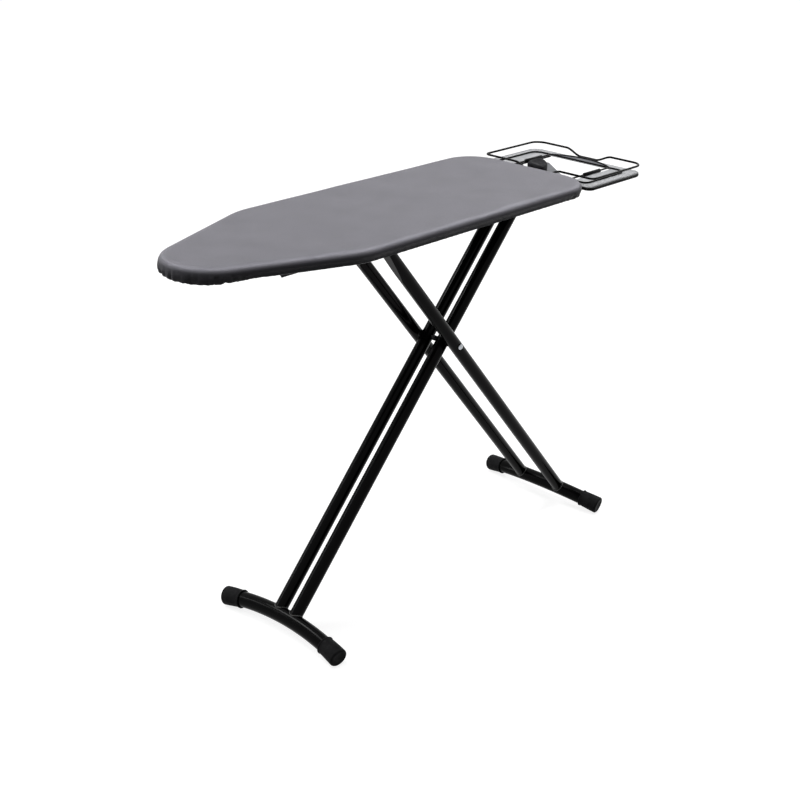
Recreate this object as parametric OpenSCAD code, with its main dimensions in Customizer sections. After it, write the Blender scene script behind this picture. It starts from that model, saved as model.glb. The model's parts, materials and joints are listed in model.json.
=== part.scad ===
// Folding ironing board with a padded top, crossed tube legs and a wire iron rest.
// X runs from the nose to the iron rest, Y across, Z up. The legs cross at the scissor pivot.

/* [Top] */
// Height of the covered top above the floor
work_h = 890; // [780:5:960]
// Length of the covered top, nose to tail
top_len = 1051; // [961:2:1201]
// Width of the covered top
top_w = 361; // [331:2:401]
// Thickness of the covered top at its edge
top_t = 30; // [26:1:36]
// Radius of the nose
nose_r = 94.5; // [80:0.5:110]
// Angle of each tapered side to the length
taper_angle = 20.1; // [16:0.1:23]
// Radius of the shoulders, where the taper starts
shoulder_r = 180; // [70:5:220]
// Radius of the tail corners
tail_r = 85; // [32:1:100]

/* [Cover and pad] */
// Thickness of the foam-backed fabric cover
cover_t = 4; // [3:0.5:5]
// Thickness of the felt underlay
felt_t = 5; // [4:0.5:7]
// Radius of the cover's upper edge
edge_r = 12; // [8:1:14]
// Radius of the cover's lower edge
hem_r = 6; // [4:1:8]
// Width of the hem that turns under the rim
hem_w = 24; // [18:1:28]
// Thickness of the hem
hem_t = 3; // [2.5:0.5:3.5]
// Diameter of the elastic cord in the hem
elastic_d = 1.4; // [1.2:0.1:2.2]

/* [Deck] */
// Thickness of the deck sheet
deck_t = 1.2; // [1:0.1:1.6]
// Thickness of the rim wall
rim_t = 1.5; // [1.2:0.1:2]
// Width of the rim's inner lip
rim_lip = 9; // [7:1:12]
// Diameter of the steam holes
steam_d = 16; // [10:1:20]
// Spacing of the steam holes
steam_pitch = 42; // [36:1:60]
// Width of a cross brace
brace_w = 26; // [22:1:30]
// Distance of the last brace from the tail
tail_brace_inset = 42; // [40:1:60]
// Sheet thickness of braces and brackets
brace_t = 1.5; // [1.2:0.1:2]

/* [Legs] */
// Length of each leg from the scissor pivot up to its hinge or slide rod
upper_arm = 364.5; // [345:0.5:385]
// Length of each leg from the scissor pivot down to the line of its foot's ends
lower_arm = 710.7; // [680:0.5:740]
// Angle of the legs to the top when folded
fold_angle = 3; // [3:0.5:6]
// Distance of the inner leg's hinge from the tail
hinge_inset = 74.5; // [66:0.5:90]
// Depth of the leg hinges under the top's lower edge
hinge_drop = 34; // [32:1:38]
// Outer diameter of the leg tubes
tube_d = 29; // [25:1:30]
// Wall of the leg tubes
tube_wall = 1.2; // [1:0.1:2]
// Distance between the axes of the inner leg's tubes
inner_gap = 45; // [43:1:48]
// Distance between the axes of the outer leg's tubes
outer_gap = 116; // [113:1:120]
// Length of the crimp at the top of the outer tubes
crimp_len = 103; // [80:1:120]
// Depth of the crimp at the slide rod
crimp_depth = 8; // [5:0.5:8]

/* [Feet] */
// Half of the distance between the foot's ends
foot_half = 169.5; // [150:0.5:190]
// Slope of the arched foot at its ends
foot_slope = 13.5; // [10:0.5:16]
// Outer diameter of the foot tube
foot_d = 35; // [32:1:38]
// Outer diameter of the foot caps
cap_d = 42; // [40:1:46]
// Length of a foot cap along the foot
cap_len = 45; // [36:1:56]
// Radius of the edge of a cap
cap_edge = 4; // [3:0.5:6]

/* [Pins and bolts] */
// Diameter of the scissor bolt, hinge pin and slide rod
pin_d = 8; // [7:0.5:8]
// Diameter of the heads and nuts
head_d = 13; // [12:0.5:15]
// Height of the heads and nuts
head_h = 4.5; // [4:0.5:6]
// Outer diameter of the spacers on the scissor bolt
spacer_d = 17; // [14:0.5:20]
// Running clearance of a pin in its bore, on the radius
pin_fit = 0.05; // [0.02:0.01:0.1]

/* [Height lock] */
// Width of the slide channel outside
channel_w = 72; // [70:1:72]
// Sheet thickness of the slide channel
channel_t = 2; // [1.5:0.1:2]
// How far the slanted front of the channel cuts back
channel_slant = 16; // [4:1:18]
// Diameter of the release shaft
shaft_d = 7; // [6:0.5:7]
// Offset of the release shaft from the middle
shaft_y = -24; // [-25:0.5:-22]
// Depth of the release shaft under the top's lower edge
shaft_drop = 8; // [8:0.5:10]
// Number of heights that the comb holds
height_count = 8; // [5:1:9]
// Thickness of the comb
comb_t = 2.5; // [2:0.1:3]
// Swing of the release lever between latched and released
lever_swing = 22; // [20:0.5:24]
// Length of the lever's arm along the top
lever_len = 148; // [130:1:155]
// Reach of the lever's arm to the side of the middle
lever_reach = 84; // [70:1:90]
// Width of the lever's arm
lever_w = 56; // [40:1:60]
// Length of the lever's grip
grip_len = 76; // [60:1:80]
// Width of the lever's grip
grip_w = 68; // [55:1:70]
// Height of the lever's grip
grip_h = 21; // [17:0.5:22]

/* [Iron rest] */
// Gap between the tail and the iron rest's frame
rest_gap = 12; // [10:1:16]
// Depth of the iron rest's frame, between bar centres
rest_depth = 213; // [190:1:240]
// Width of the iron rest's frame, between bar centres
rest_w = 310; // [280:2:330]
// Diameter of the frame bar
bar_d = 7; // [6:0.5:7]
// Depth of the frame bar's axis under the top
bar_drop = 28; // [27:0.5:29]
// Thickness of the mesh tray
tray_t = 1.2; // [1:0.1:1.6]
// Distance of the guard rail's axis under the top
guard_drop = 6.5; // [5:0.5:9]
// Diameter of the guard rail
guard_d = 5; // [4:0.5:5]
// Width of the dip in the guard rail at its bottom
dip_w = 52; // [40:2:60]
// Length that each side of the dip takes
dip_run = 37; // [30:1:45]
// Diameter of the inner wires
wire_d = 4; // [3:0.5:4]
// Width between the two cross wires
cross_w = 168; // [150:2:172]
// Outer diameter of the silicone sleeves
sleeve_d = 9; // [8:0.5:10]
// Length of the silicone sleeves
sleeve_len = 63; // [50:1:75]
// Distance from the side of the top to each mounting rod
rod_inset = 70.5; // [66:0.5:80]

/* [Hidden] */
$fn = 48;
gap = 0.2;
slot_fit = 0.4;
cap_fit = 0.1;
knuckle = 0.3;

// Scissor linkage. Both legs have the same arms, so they fold as mirror images.
// The height of the top sets their angle: a leg leans until its caps just touch the floor.
function cap_lift(slant) =
    (cap_d / 2 - cap_edge) * cos(asin(sin(foot_slope) * slant)) + cap_edge;
function leg_slant(slant, rounds) =
    rounds == 0 ? slant : leg_slant((hinge_z - cap_lift(slant)) / (upper_arm + lower_arm), rounds - 1);
hinge_z = work_h - top_t - hinge_drop;
leg_angle = asin(leg_slant(0.75, 5));
foot_lift = cap_lift(sin(leg_angle));
pivot_h = foot_lift + lower_arm * sin(leg_angle);
hinge_x = upper_arm * cos(leg_angle);
tail_reach = hinge_x + hinge_inset;
fold_travel = 2 * upper_arm * (cos(fold_angle) - cos(leg_angle));
slide_x = -hinge_x;
foot_x = lower_arm * cos(leg_angle);

// Reach of the object on each side of the scissor pivot; X = 0 is the middle of the whole.
nose_reach = top_len - tail_reach;
rest_in = tail_reach + rest_gap;
rest_out = rest_in + rest_depth;
rod_gap = top_w - 2 * rod_inset;
guard_out = rest_out + 3;
guard_in = rest_in + 12;
foot_reach = foot_x + cap_d;
pivot_x = (max(nose_reach, foot_reach) - max(guard_out + guard_d / 2, foot_reach)) / 2;

// Outline of the top
half_w = top_w / 2;
nose_x = -nose_reach + nose_r;
shoulder_x = nose_x + (cos(taper_angle) * half_w - nose_r) / sin(taper_angle);
shoulder_cx = shoulder_x + shoulder_r * tan(taper_angle / 2);

// Layers of the top, from above
lower_z = work_h - top_t;
felt_top = work_h - cover_t - gap;
deck_top = felt_top - felt_t - gap;
rim_inset = cover_t + gap;
rim_low = lower_z + hem_t + gap;
brace_top = deck_top - deck_t;
brace_low = rim_low - 0.8;
brace_end = rim_inset + rim_t + gap;

// Release shaft and comb
shaft_z = lower_z - shaft_drop;
comb_clear = 0.6;
comb_low = hinge_z + pin_d / 2 + comb_clear;
comb_pitch = fold_travel / (height_count - 1);
comb_slot_w = pin_d + 2 * slot_fit;
comb_web_t = 3;
comb_end = 10;
channel_x0 = slide_x - fold_travel - 30;
channel_x1 = slide_x + 26;
channel_low = hinge_z - pin_d / 2 - slot_fit - 3.4;

// Iron rest levels
bar_z = work_h - bar_drop;
tray_z = bar_z + bar_d / 2;
wire_z = tray_z + tray_t + wire_d / 2;
guard_z = work_h - guard_drop;
dip_z = tray_z + tray_t + guard_d / 2 + 0.1;
rod_z = bar_z - bar_d;
ring_out = rest_out - 33;
ring_in = rest_in + 20;
ring_w = 260;
bow_rise = 28;
bow_r = (pow(cross_w / 2, 2) + pow(bow_rise, 2)) / (2 * bow_rise);
rod_x0 = hinge_x - 36;
tail_brace_x = tail_reach - tail_brace_inset;
shaft_end = ring_in + 40;
lever_t = 3;
lever_corner = 5;
grip_corner = 6;
lever_z = shaft_z;
rivet_d = 7;
rivet_h = 2;
ear_y = inner_gap / 2 + tube_d / 2 + 3;
ear_t = 3;
ear_w = 40;
ear_foot = 20;
bearing_w = shaft_d + 9;
bearing_len = 10;
strap_w = 18;
strap_t = 2;
strap_wing = 11;

steel_black = [0.06, 0.06, 0.065];
zinc = [0.75, 0.76, 0.78];
rubber_black = [0.1, 0.1, 0.1];
cover_grey = [0.4, 0.4, 0.42];

// ---- Frames of reference ----

// The top and all that is fixed to it, measured from the scissor pivot along X
module on_top() {
    translate([pivot_x, 0, 0])
        children();
}

// The inner leg: origin at the scissor pivot, +Z up the leg
module on_inner_leg() {
    translate([pivot_x, 0, pivot_h])
        rotate([0, 90 - leg_angle, 0])
            children();
}

// The outer leg, its mirror image
module on_outer_leg() {
    translate([pivot_x, 0, pivot_h])
        rotate([0, leg_angle - 90, 0])
            children();
}

// ---- Shapes that repeat ----

function arc(cx, cy, r, from, to, steps) =
    [for (i = [0:steps])
        [cx + r * cos(from + (to - from) * i / steps), cy + r * sin(from + (to - from) * i / steps)]];

// Outline of the top, drawn in by a distance all round
function top_outline(inset) = concat(
    arc(nose_x, 0, nose_r - inset, 90 + taper_angle, 270 - taper_angle, 20),
    arc(shoulder_cx, shoulder_r - half_w, shoulder_r - inset, 270 - taper_angle, 270, 4),
    arc(tail_reach - tail_r, tail_r - half_w, tail_r - inset, 270, 360, 8),
    arc(tail_reach - tail_r, half_w - tail_r, tail_r - inset, 0, 90, 8),
    arc(shoulder_cx, half_w - shoulder_r, shoulder_r - inset, 90, 90 + taper_angle, 4)
);

// Half of the top's width at a place by the tail
function tail_half(x) = x < tail_reach - tail_r
    ? half_w
    : half_w - tail_r + sqrt(pow(tail_r, 2) - pow(x - tail_reach + tail_r, 2));

// Half of the inside width of the rim between two places along the top
function rim_half(x0, x1) = min(
    min(half_w, half_w - (shoulder_x - x0) * tan(taper_angle)) - brace_end / cos(taper_angle),
    tail_half(x1) - brace_end - 1
);

module top_slice(inset, z, height) {
    translate([0, 0, z])
        linear_extrude(height)
            polygon(top_outline(inset));
}

// A rod along Y through the middle of the part
module cross_rod(d, y0, y1) {
    translate([0, y0, 0])
        rotate([-90, 0, 0])
            cylinder(d = d, h = y1 - y0);
}

// A ring along Y, such as a washer or a spacer
module cross_ring(d, bore, y0, y1) {
    difference() {
        cross_rod(d, y0, y1);
        cross_rod(bore, y0 - 1, y1 + 1);
    }
}

// A round bar between two points
module bar(p, q, d) {
    v = q - p;
    len = norm(v);
    translate(p)
        rotate([0, acos(v[2] / len), atan2(v[1], v[0])])
            cylinder(d = d, h = len);
}

// A quarter bend of round bar about a corner's centre
module bend(x, y, z, r, from, d) {
    translate([x, y, z])
        rotate([0, 0, from])
            rotate_extrude(angle = 90)
                translate([r, 0])
                    circle(d = d);
}

// A flat closed loop of round bar with four rounded corners
module bar_loop(x0, x1, w, z, r0, r1, d) {
    h = w / 2;
    bend(x1 - r1, h - r1, z, r1, 0, d);
    bend(x0 + r0, h - r0, z, r0, 90, d);
    bend(x0 + r0, r0 - h, z, r0, 180, d);
    bend(x1 - r1, r1 - h, z, r1, 270, d);
    for (side = [-1, 1])
        bar([x0 + r0, side * h, z], [x1 - r1, side * h, z], d);
    bar([x0, r0 - h, z], [x0, h - r0, z], d);
    bar([x1, r1 - h, z], [x1, h - r1, z], d);
}

module rounded_plate(points, r, height) {
    linear_extrude(height)
        offset(r = r)
            offset(delta = -r)
                polygon(points);
}

// ---- Top ----

// Solid between outlines of the top at several levels, each [inset, z], from the lowest up
module stacked_outlines(levels) {
    n = len(top_outline(0));
    last = len(levels) - 1;
    points = [for (level = levels) for (p = top_outline(level[0])) [p[0], p[1], level[1]]];
    low_face = [for (i = [0:n - 1]) i];
    high_face = [for (i = [0:n - 1]) last * n + n - 1 - i];
    sides = [
        for (k = [0:last - 1])
            for (i = [0:n - 1])
                [k * n + i, (k + 1) * n + i, (k + 1) * n + (i + 1) % n, k * n + (i + 1) % n]
    ];
    polyhedron(points, concat([low_face], sides, [high_face]));
}

// Outer or inner skin of the cover, rounded over its upper and lower edges
module cover_form(inset, r_top, r_low, z_low, z_top) {
    stacked_outlines(concat(
        [for (a = [0:30:90]) [inset + r_low * (1 - sin(a)), z_low + r_low * (1 - cos(a))]],
        [for (a = [90:-22.5:0]) [inset + r_top * (1 - sin(a)), z_top - r_top * (1 - cos(a))]]
    ));
}

module fabric_cover() {
    color(cover_grey)
        on_top()
            difference() {
                cover_form(0, edge_r, hem_r, lower_z, work_h);
                cover_form(cover_t, edge_r / 3, 0.5, lower_z + hem_t, work_h - cover_t);
                top_slice(hem_w, lower_z - 1, top_t / 2);
            }
}

// Elastic cord that gathers the hem under the rim
module hem_elastic() {
    elastic_low = lower_z - elastic_d;
    color("white")
        on_top()
            difference() {
                top_slice(hem_w - elastic_d - 3, elastic_low, elastic_d);
                top_slice(hem_w - 3, elastic_low - 1, elastic_d + 2);
            }
}

module felt_underlay() {
    color([0.85, 0.83, 0.78])
        on_top()
            top_slice(rim_inset + edge_r / 3, felt_top - felt_t, felt_t);
}

// Deck sheet with rows of steam holes
module deck_sheet() {
    cols = floor((top_len - 160) / steam_pitch);
    rows = floor((half_w - 40) / steam_pitch);
    color([0.8, 0.8, 0.8])
        on_top()
            difference() {
                top_slice(rim_inset, deck_top - deck_t, deck_t);
                for (i = [0:cols])
                    for (j = [-rows:rows]) {
                        x = tail_reach - 70 - i * steam_pitch;
                        y = j * steam_pitch;
                        if (abs(y) < rim_half(x, x + steam_d) - steam_d)
                            translate([x, y, deck_top - deck_t - 1])
                                cylinder(d = steam_d, h = deck_t + 2, $fn = 24);
                    }
            }
}

// Rim wall with a lip at its foot
module deck_rim() {
    color(steel_black)
        on_top()
            union() {
                difference() {
                    top_slice(rim_inset, rim_low, deck_top - deck_t - rim_low);
                    top_slice(rim_inset + rim_t, rim_low - 1, top_t);
                }
                difference() {
                    top_slice(rim_inset, rim_low, rim_t);
                    top_slice(rim_inset + rim_lip, rim_low - 1, rim_t + 2);
                }
            }
}

// A trough-shaped brace across the deck, its ends stepped over the hem
module brace(x, half) {
    inner_w = brace_w - 2 * brace_t;
    step_y = half - (hem_w - brace_end) / cos(taper_angle) - 1;
    color(steel_black)
        on_top()
            difference() {
                translate([x - brace_w / 2, -half, brace_low])
                    cube([brace_w, 2 * half, brace_top - brace_low]);
                translate([x - inner_w / 2, -half - 1, brace_low + brace_t])
                    cube([inner_w, 2 * half + 2, top_t]);
                for (turn = [0, 180])
                    translate([x, 0, 0])
                        rotate([0, 0, turn])
                            translate([-brace_w, step_y, brace_low - 1])
                                cube([2 * brace_w, top_w, rim_low + rim_t + gap - brace_low + 1]);
            }
}

// A brace that reaches both sides of the rim
module brace_at(x) {
    brace(x, rim_half(x - brace_w, x + brace_w / 2) - 1);
}

module brace_front() {
    brace_at(channel_x0 + brace_w / 2);
}

module brace_mid() {
    brace_at(channel_x1 - brace_w / 2);
}

module brace_centre() {
    brace_at((channel_x1 + hinge_x) / 2);
}

module brace_rear() {
    brace_at(hinge_x);
}

module brace_tail() {
    brace(tail_brace_x, tail_half(tail_brace_x + brace_w / 2) - hem_w + 2);
}

// ---- Height lock ----

// Inverted channel with a long slot in each wall, in which the slide rod runs
module slide_channel() {
    len = channel_x1 - channel_x0;
    inner_w = channel_w - 2 * channel_t;
    slot_h = pin_d + 2 * slot_fit;
    color(steel_black)
        on_top()
            difference() {
                translate([channel_x0, -channel_w / 2, channel_low])
                    cube([len, channel_w, brace_low - gap - channel_low]);
                translate([channel_x0 - 1, -inner_w / 2, channel_low - 1])
                    cube([len + 2, inner_w, brace_low - gap - channel_low - channel_t + 1]);
                translate([channel_x0, channel_w, channel_low])
                    rotate([90, 0, 0])
                        linear_extrude(2 * channel_w)
                            polygon([
                                [-1, -1],
                                [channel_slant, -1],
                                [channel_slant, 0],
                                [-1, 1.6 * channel_slant + 1],
                            ]);
                translate([slide_x - fold_travel, -channel_w, hinge_z - slot_h / 2])
                    cube([fold_travel, 2 * channel_w, slot_h]);
                for (x = [slide_x - fold_travel, slide_x])
                    translate([x, 0, hinge_z])
                        cross_rod(slot_h, -channel_w, channel_w);
            }
}

module release_shaft() {
    x0 = channel_x0 + 4;
    color(zinc)
        on_top()
            translate([x0, shaft_y, shaft_z])
                rotate([0, 90, 0])
                    cylinder(d = shaft_d, h = shaft_end - x0);
}

// Notched plate on the release shaft; its slots drop over the slide rod
module height_comb() {
    x0 = slide_x - fold_travel - comb_end;
    x1 = slide_x + comb_end;
    slot_top = shaft_z
        + (hinge_z + pin_d / 2 + slot_fit - shaft_z + (comb_t / 2 - shaft_y) * sin(lever_swing))
        / cos(lever_swing);
    color(zinc)
        on_top()
            difference() {
                union() {
                    translate([x0, shaft_y, shaft_z - comb_web_t / 2])
                        cube([x1 - x0, -shaft_y + comb_t / 2, comb_web_t]);
                    translate([x0, -comb_t / 2, comb_low])
                        cube([x1 - x0, comb_t, shaft_z + comb_web_t / 2 - comb_low]);
                }
                translate([x0 - 1, shaft_y, shaft_z])
                    rotate([0, 90, 0])
                        cylinder(d = shaft_d, h = x1 - x0 + 2);
                for (i = [0:height_count - 1])
                    translate([slide_x - i * comb_pitch - comb_slot_w / 2, -comb_t, comb_low - 1])
                        cube([comb_slot_w, 2 * comb_t, slot_top - comb_low + 1]);
            }
}

// Flat arm welded to the shaft's end
module release_lever() {
    x0 = ring_in - 6;
    x1 = x0 + lever_len;
    low = shaft_y - shaft_d / 2 - lever_corner;
    arm = [
        [x0, low], [x1 - grip_len - 12, low], [x1, lever_reach - 8], [x1 - 6, lever_reach],
        [x1 - lever_w, lever_reach], [x0 + 26, 0], [x0, 0]
    ];
    color(zinc)
        on_top()
            difference() {
                translate([0, 0, lever_z - lever_t / 2])
                    rounded_plate(arm, lever_corner, lever_t);
                translate([x0 - 1, shaft_y, shaft_z])
                    rotate([0, 90, 0])
                        cylinder(d = shaft_d, h = shaft_end - x0 + 1);
            }
}

module lever_grip() {
    x0 = ring_in + 20;
    x1 = x0 + grip_len;
    y0 = 6;
    y1 = y0 + grip_w;
    top = [[x0, y0], [x0 + grip_len * 0.6, y0 + grip_w * 0.35], [x1, y1 - 8], [x1 - 10, y1],
        [x0 + grip_len / 2, y1], [x0 + grip_len / 5, y1 - 12]];
    color(rubber_black)
        on_top()
            translate([0, 0, lever_z + lever_t / 2])
                hull() {
                    rounded_plate(top, grip_corner, grip_h - 3);
                    translate([0, 0, grip_h - 0.1])
                        linear_extrude(0.1)
                            offset(r = -3)
                                polygon(top);
                }
}

// Blocks under the braces in which the shaft turns
module shaft_bearings() {
    places = [channel_x0 + 11, channel_x1 - 8, (channel_x1 + hinge_x) / 2, tail_brace_x];
    color("white")
        on_top()
            for (i = [0:3]) {
                in_channel = i < 2;
                top = in_channel ? brace_low - gap - channel_t : brace_low;
                low = shaft_z - shaft_d;
                difference() {
                    translate([places[i] - bearing_len / 2, shaft_y - bearing_w / 2, low])
                        cube([bearing_len, bearing_w, top - low]);
                    translate([places[i] - bearing_len, shaft_y, shaft_z])
                        rotate([0, 90, 0])
                            cylinder(r = shaft_d / 2 + pin_fit, h = 2 * bearing_len);
                }
            }
}

// Envelope of the torsion spring around the shaft
module return_spring() {
    x0 = (channel_x1 + hinge_x) / 2 + 8;
    color(zinc)
        on_top()
            translate([x0, shaft_y, shaft_z])
                rotate([0, 90, 0])
                    difference() {
                        cylinder(d = shaft_d + 5, h = 34);
                        translate([0, 0, -1])
                            cylinder(d = shaft_d + 1.4, h = 36);
                    }
}

// ---- Leg hinge under the tail ----

// An ear with a flange under the rear brace
module hinge_bracket(side) {
    flange_t = 2;
    flange_y = side > 0 ? ear_y : -ear_y - ear_foot;
    color(steel_black)
        on_top()
            difference() {
                union() {
                    translate([hinge_x, 0, 0])
                        scale([1, side, 1])
                            translate([-ear_w / 2, ear_y, hinge_z])
                                cube([ear_w, ear_t, brace_low - gap - hinge_z]);
                    translate([hinge_x, 0, hinge_z])
                        cross_rod(26, side > 0 ? ear_y : -ear_y - ear_t, side > 0 ? ear_y + ear_t : -ear_y);
                    translate([hinge_x - ear_w / 2, flange_y, brace_low - gap - flange_t])
                        cube([ear_w, ear_foot, flange_t]);
                }
                translate([hinge_x, 0, hinge_z])
                    cross_rod(pin_d + 2 * pin_fit, -ear_y - ear_t - 1, ear_y + ear_t + 1);
            }
}

module hinge_bracket_left() {
    hinge_bracket(1);
}

module hinge_bracket_right() {
    hinge_bracket(-1);
}

module hinge_pin() {
    reach = ear_y + ear_t;
    color(zinc)
        on_top()
            translate([hinge_x, 0, hinge_z]) {
                cross_rod(pin_d, -reach, reach + head_h);
                cross_rod(head_d, -reach - head_h, -reach);
            }
}

module hinge_pin_nut() {
    reach = ear_y + ear_t;
    color(zinc)
        on_top()
            translate([hinge_x, 0, hinge_z])
                cross_ring(head_d, pin_d, reach, reach + head_h);
}

// Sleeves that keep the inner leg in the middle of its bracket
module hinge_spacer() {
    tube_in = inner_gap / 2 - tube_d / 2;
    tube_out = inner_gap / 2 + tube_d / 2;
    color("white")
        on_top()
            translate([hinge_x, 0, hinge_z]) {
                cross_ring(pin_d + 6, pin_d + 2 * pin_fit, -tube_in + gap, tube_in - gap);
                cross_ring(pin_d + 6, pin_d + 2 * pin_fit, tube_out + gap, ear_y - gap);
                cross_ring(pin_d + 6, pin_d + 2 * pin_fit, -ear_y + gap, -tube_out - gap);
            }
}

// Rivets that hold the brackets and the channel to their braces
module bracket_rivets() {
    rivet_y = ear_y + (ear_t + ear_foot) / 2;
    flange_t = 2;
    color(zinc)
        on_top() {
            for (side = [-1, 1])
                for (x = [-12, 12])
                    translate([hinge_x + x, side * rivet_y, brace_low - gap - flange_t - rivet_h])
                        cylinder(d = rivet_d, h = rivet_h);
            for (x = [channel_x0 + brace_w / 2 + 6, channel_x1 - brace_w / 2 - 6])
                for (y = [6, 20])
                    translate([x, y, brace_low - gap - channel_t - rivet_h])
                        cylinder(d = rivet_d, h = rivet_h);
        }
}

// ---- Legs, each drawn up its own axis ----

// The foot's circle, bulging up the leg, with its ends at the foot of the lower arm
foot_r = foot_half / sin(foot_slope);

// A stretch of the foot's arc, between two angles from its middle
module foot_arc(d, from, to) {
    translate([0, 0, -lower_arm - foot_r * cos(foot_slope)])
        rotate([0, -90, 0])
            rotate([0, 0, from])
                rotate_extrude(angle = to - from, $fn = 360)
                    translate([foot_r, 0])
                        circle(d = d, $fn = 48);
}

module foot_tube() {
    ring = foot_d - 2 * tube_wall;
    color(steel_black)
        difference() {
            foot_arc(foot_d, -foot_slope, foot_slope);
            foot_arc(ring, -foot_slope - 1, foot_slope + 1);
        }
}

// Rubber cap on the right end of a foot
module foot_cap() {
    cap_angle = cap_len / foot_r * 180 / PI;
    color(rubber_black)
        difference() {
            union() {
                foot_arc(cap_d, -foot_slope, cap_angle - foot_slope);
                foot_end()
                    cap_end();
            }
            foot_arc(foot_d + 2 * cap_fit, -foot_slope, cap_angle - foot_slope + 1);
        }
}

// Places its child at a foot's right end, with +Z along the foot and out of it
module foot_end() {
    translate([0, 0, -lower_arm - foot_r * cos(foot_slope)])
        rotate([foot_slope, 0, 0])
            translate([0, 0, foot_r])
                rotate([90, 0, 0])
                    children();
}

// Rounded end of a cap
module cap_end() {
    cylinder(d = cap_d - 2 * cap_edge, h = cap_edge);
    rotate_extrude()
        translate([cap_d / 2 - cap_edge, 0])
            intersection() {
                circle(r = cap_edge);
                translate([-cap_edge, 0])
                    square(2 * cap_edge);
            }
}

// A straight leg tube from the foot to its top, bored across for the bolt and the top pin
module leg_tube(y, end_len) {
    foot_top = foot_half * tan(foot_slope / 2);
    difference() {
        translate([0, y, foot_top - lower_arm])
            cylinder(d = tube_d, h = lower_arm - foot_top + upper_arm + end_len);
        translate([0, y, -lower_arm])
            cylinder(d = tube_d - 2 * tube_wall, h = lower_arm + upper_arm + end_len + 1);
        foot_arc(foot_d, -foot_slope, foot_slope);
        for (z = [0, upper_arm])
            translate([0, y, z])
                cross_rod(pin_d + 2 * pin_fit, -tube_d, tube_d);
    }
}

inner_top = 12;

module inner_tube(side) {
    color(steel_black)
        on_inner_leg()
            leg_tube(side * inner_gap / 2, inner_top);
}

module inner_tube_left() {
    inner_tube(1);
}

module inner_tube_right() {
    inner_tube(-1);
}

module inner_foot() {
    on_inner_leg()
        foot_tube();
}

module inner_cap_left() {
    on_inner_leg()
        mirror([0, 1, 0])
            foot_cap();
}

module inner_cap_right() {
    on_inner_leg()
        foot_cap();
}

// Plastic plugs in the tops of the inner tubes
module inner_tube_plugs() {
    color(rubber_black)
        on_inner_leg()
            for (side = [-1, 1])
                translate([0, side * inner_gap / 2, upper_arm]) {
                    translate([0, 0, inner_top + 0.05])
                        cylinder(d = tube_d - 1, h = 2);
                    translate([0, 0, pin_d / 2 + 1])
                        cylinder(d = tube_d - 2 * tube_wall - 2 * cap_fit, h = inner_top - pin_d / 2);
                }
}

outer_top = 10;

// Outer tube: its lower side is crimped towards the slide rod and closed by a flat web
module outer_tube(side) {
    y = side * outer_gap / 2;
    crimp_angle = atan(crimp_depth / crimp_len);
    color(steel_black)
        on_outer_leg()
            union() {
                difference() {
                    leg_tube(y, outer_top);
                    crimp_side(y, crimp_angle, 0)
                        cube([tube_d, 2 * tube_d, 2 * crimp_len]);
                }
                intersection() {
                    translate([0, y, upper_arm - crimp_len])
                        cylinder(d = tube_d, h = crimp_len + outer_top);
                    crimp_side(y, crimp_angle, tube_wall)
                        cube([tube_wall, 2 * tube_d, 2 * crimp_len]);
                }
            }
}

// Places its child against the slanted lower side of a crimp
module crimp_side(y, angle, inward) {
    reach = tube_d - inward;
    translate([-tube_d / 2, y - tube_d, upper_arm - crimp_len])
        rotate([0, angle, 0])
            translate([inward > 0 ? 0 : -tube_d, 0, 0])
                children();
}

module outer_tube_left() {
    outer_tube(1);
}

module outer_tube_right() {
    outer_tube(-1);
}

module outer_foot() {
    on_outer_leg()
        foot_tube();
}

module outer_cap_left() {
    on_outer_leg()
        mirror([0, 1, 0])
            foot_cap();
}

module outer_cap_right() {
    on_outer_leg()
        foot_cap();
}

// Rod that joins the outer tubes at the top and runs in the slide channel
module slide_rod() {
    reach = outer_gap / 2 + tube_d / 2;
    color(zinc)
        on_outer_leg()
            translate([0, 0, upper_arm]) {
                cross_rod(pin_d, -reach, reach);
                for (side = [-1, 1])
                    cross_rod(head_d, side > 0 ? reach : -reach - 3, side > 0 ? reach + 3 : -reach);
            }
}

// Nylon bushes between the channel and the outer tubes
module slide_bushes() {
    from = channel_w / 2 + 0.5;
    to = outer_gap / 2 - tube_d / 2 - gap;
    color("white")
        on_outer_leg()
            translate([0, 0, upper_arm]) {
                cross_ring(spacer_d - 1, pin_d + 2 * pin_fit, from, to);
                cross_ring(spacer_d - 1, pin_d + 2 * pin_fit, -to, -from);
            }
}

module scissor_bolt() {
    reach = outer_gap / 2 + tube_d / 2;
    color(zinc)
        on_outer_leg() {
            cross_rod(pin_d, -reach, reach + head_h);
            cross_rod(head_d, -reach - head_h, -reach);
        }
}

module scissor_nut() {
    reach = outer_gap / 2 + tube_d / 2;
    color(zinc)
        on_outer_leg()
            cross_ring(head_d + 1, pin_d, reach, reach + head_h);
}

// Spacer between the inner tubes on the scissor bolt
module centre_spacer() {
    reach = inner_gap / 2 - tube_d / 2 - gap;
    color(rubber_black)
        on_outer_leg()
            cross_ring(pin_d + 4, pin_d + 2 * pin_fit, -reach, reach);
}

// Spacers between the inner and the outer tubes
module side_spacers() {
    from = inner_gap / 2 + tube_d / 2 + gap;
    to = outer_gap / 2 - tube_d / 2 - gap;
    color(rubber_black)
        on_outer_leg() {
            cross_ring(spacer_d, pin_d + 2 * pin_fit, from, to);
            cross_ring(spacer_d, pin_d + 2 * pin_fit, -to, -from);
        }
}

// ---- Iron rest ----

module rest_frame() {
    color(steel_black)
        on_top()
            bar_loop(rest_in, rest_out, rest_w, bar_z, 14, 30, bar_d);
}

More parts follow.
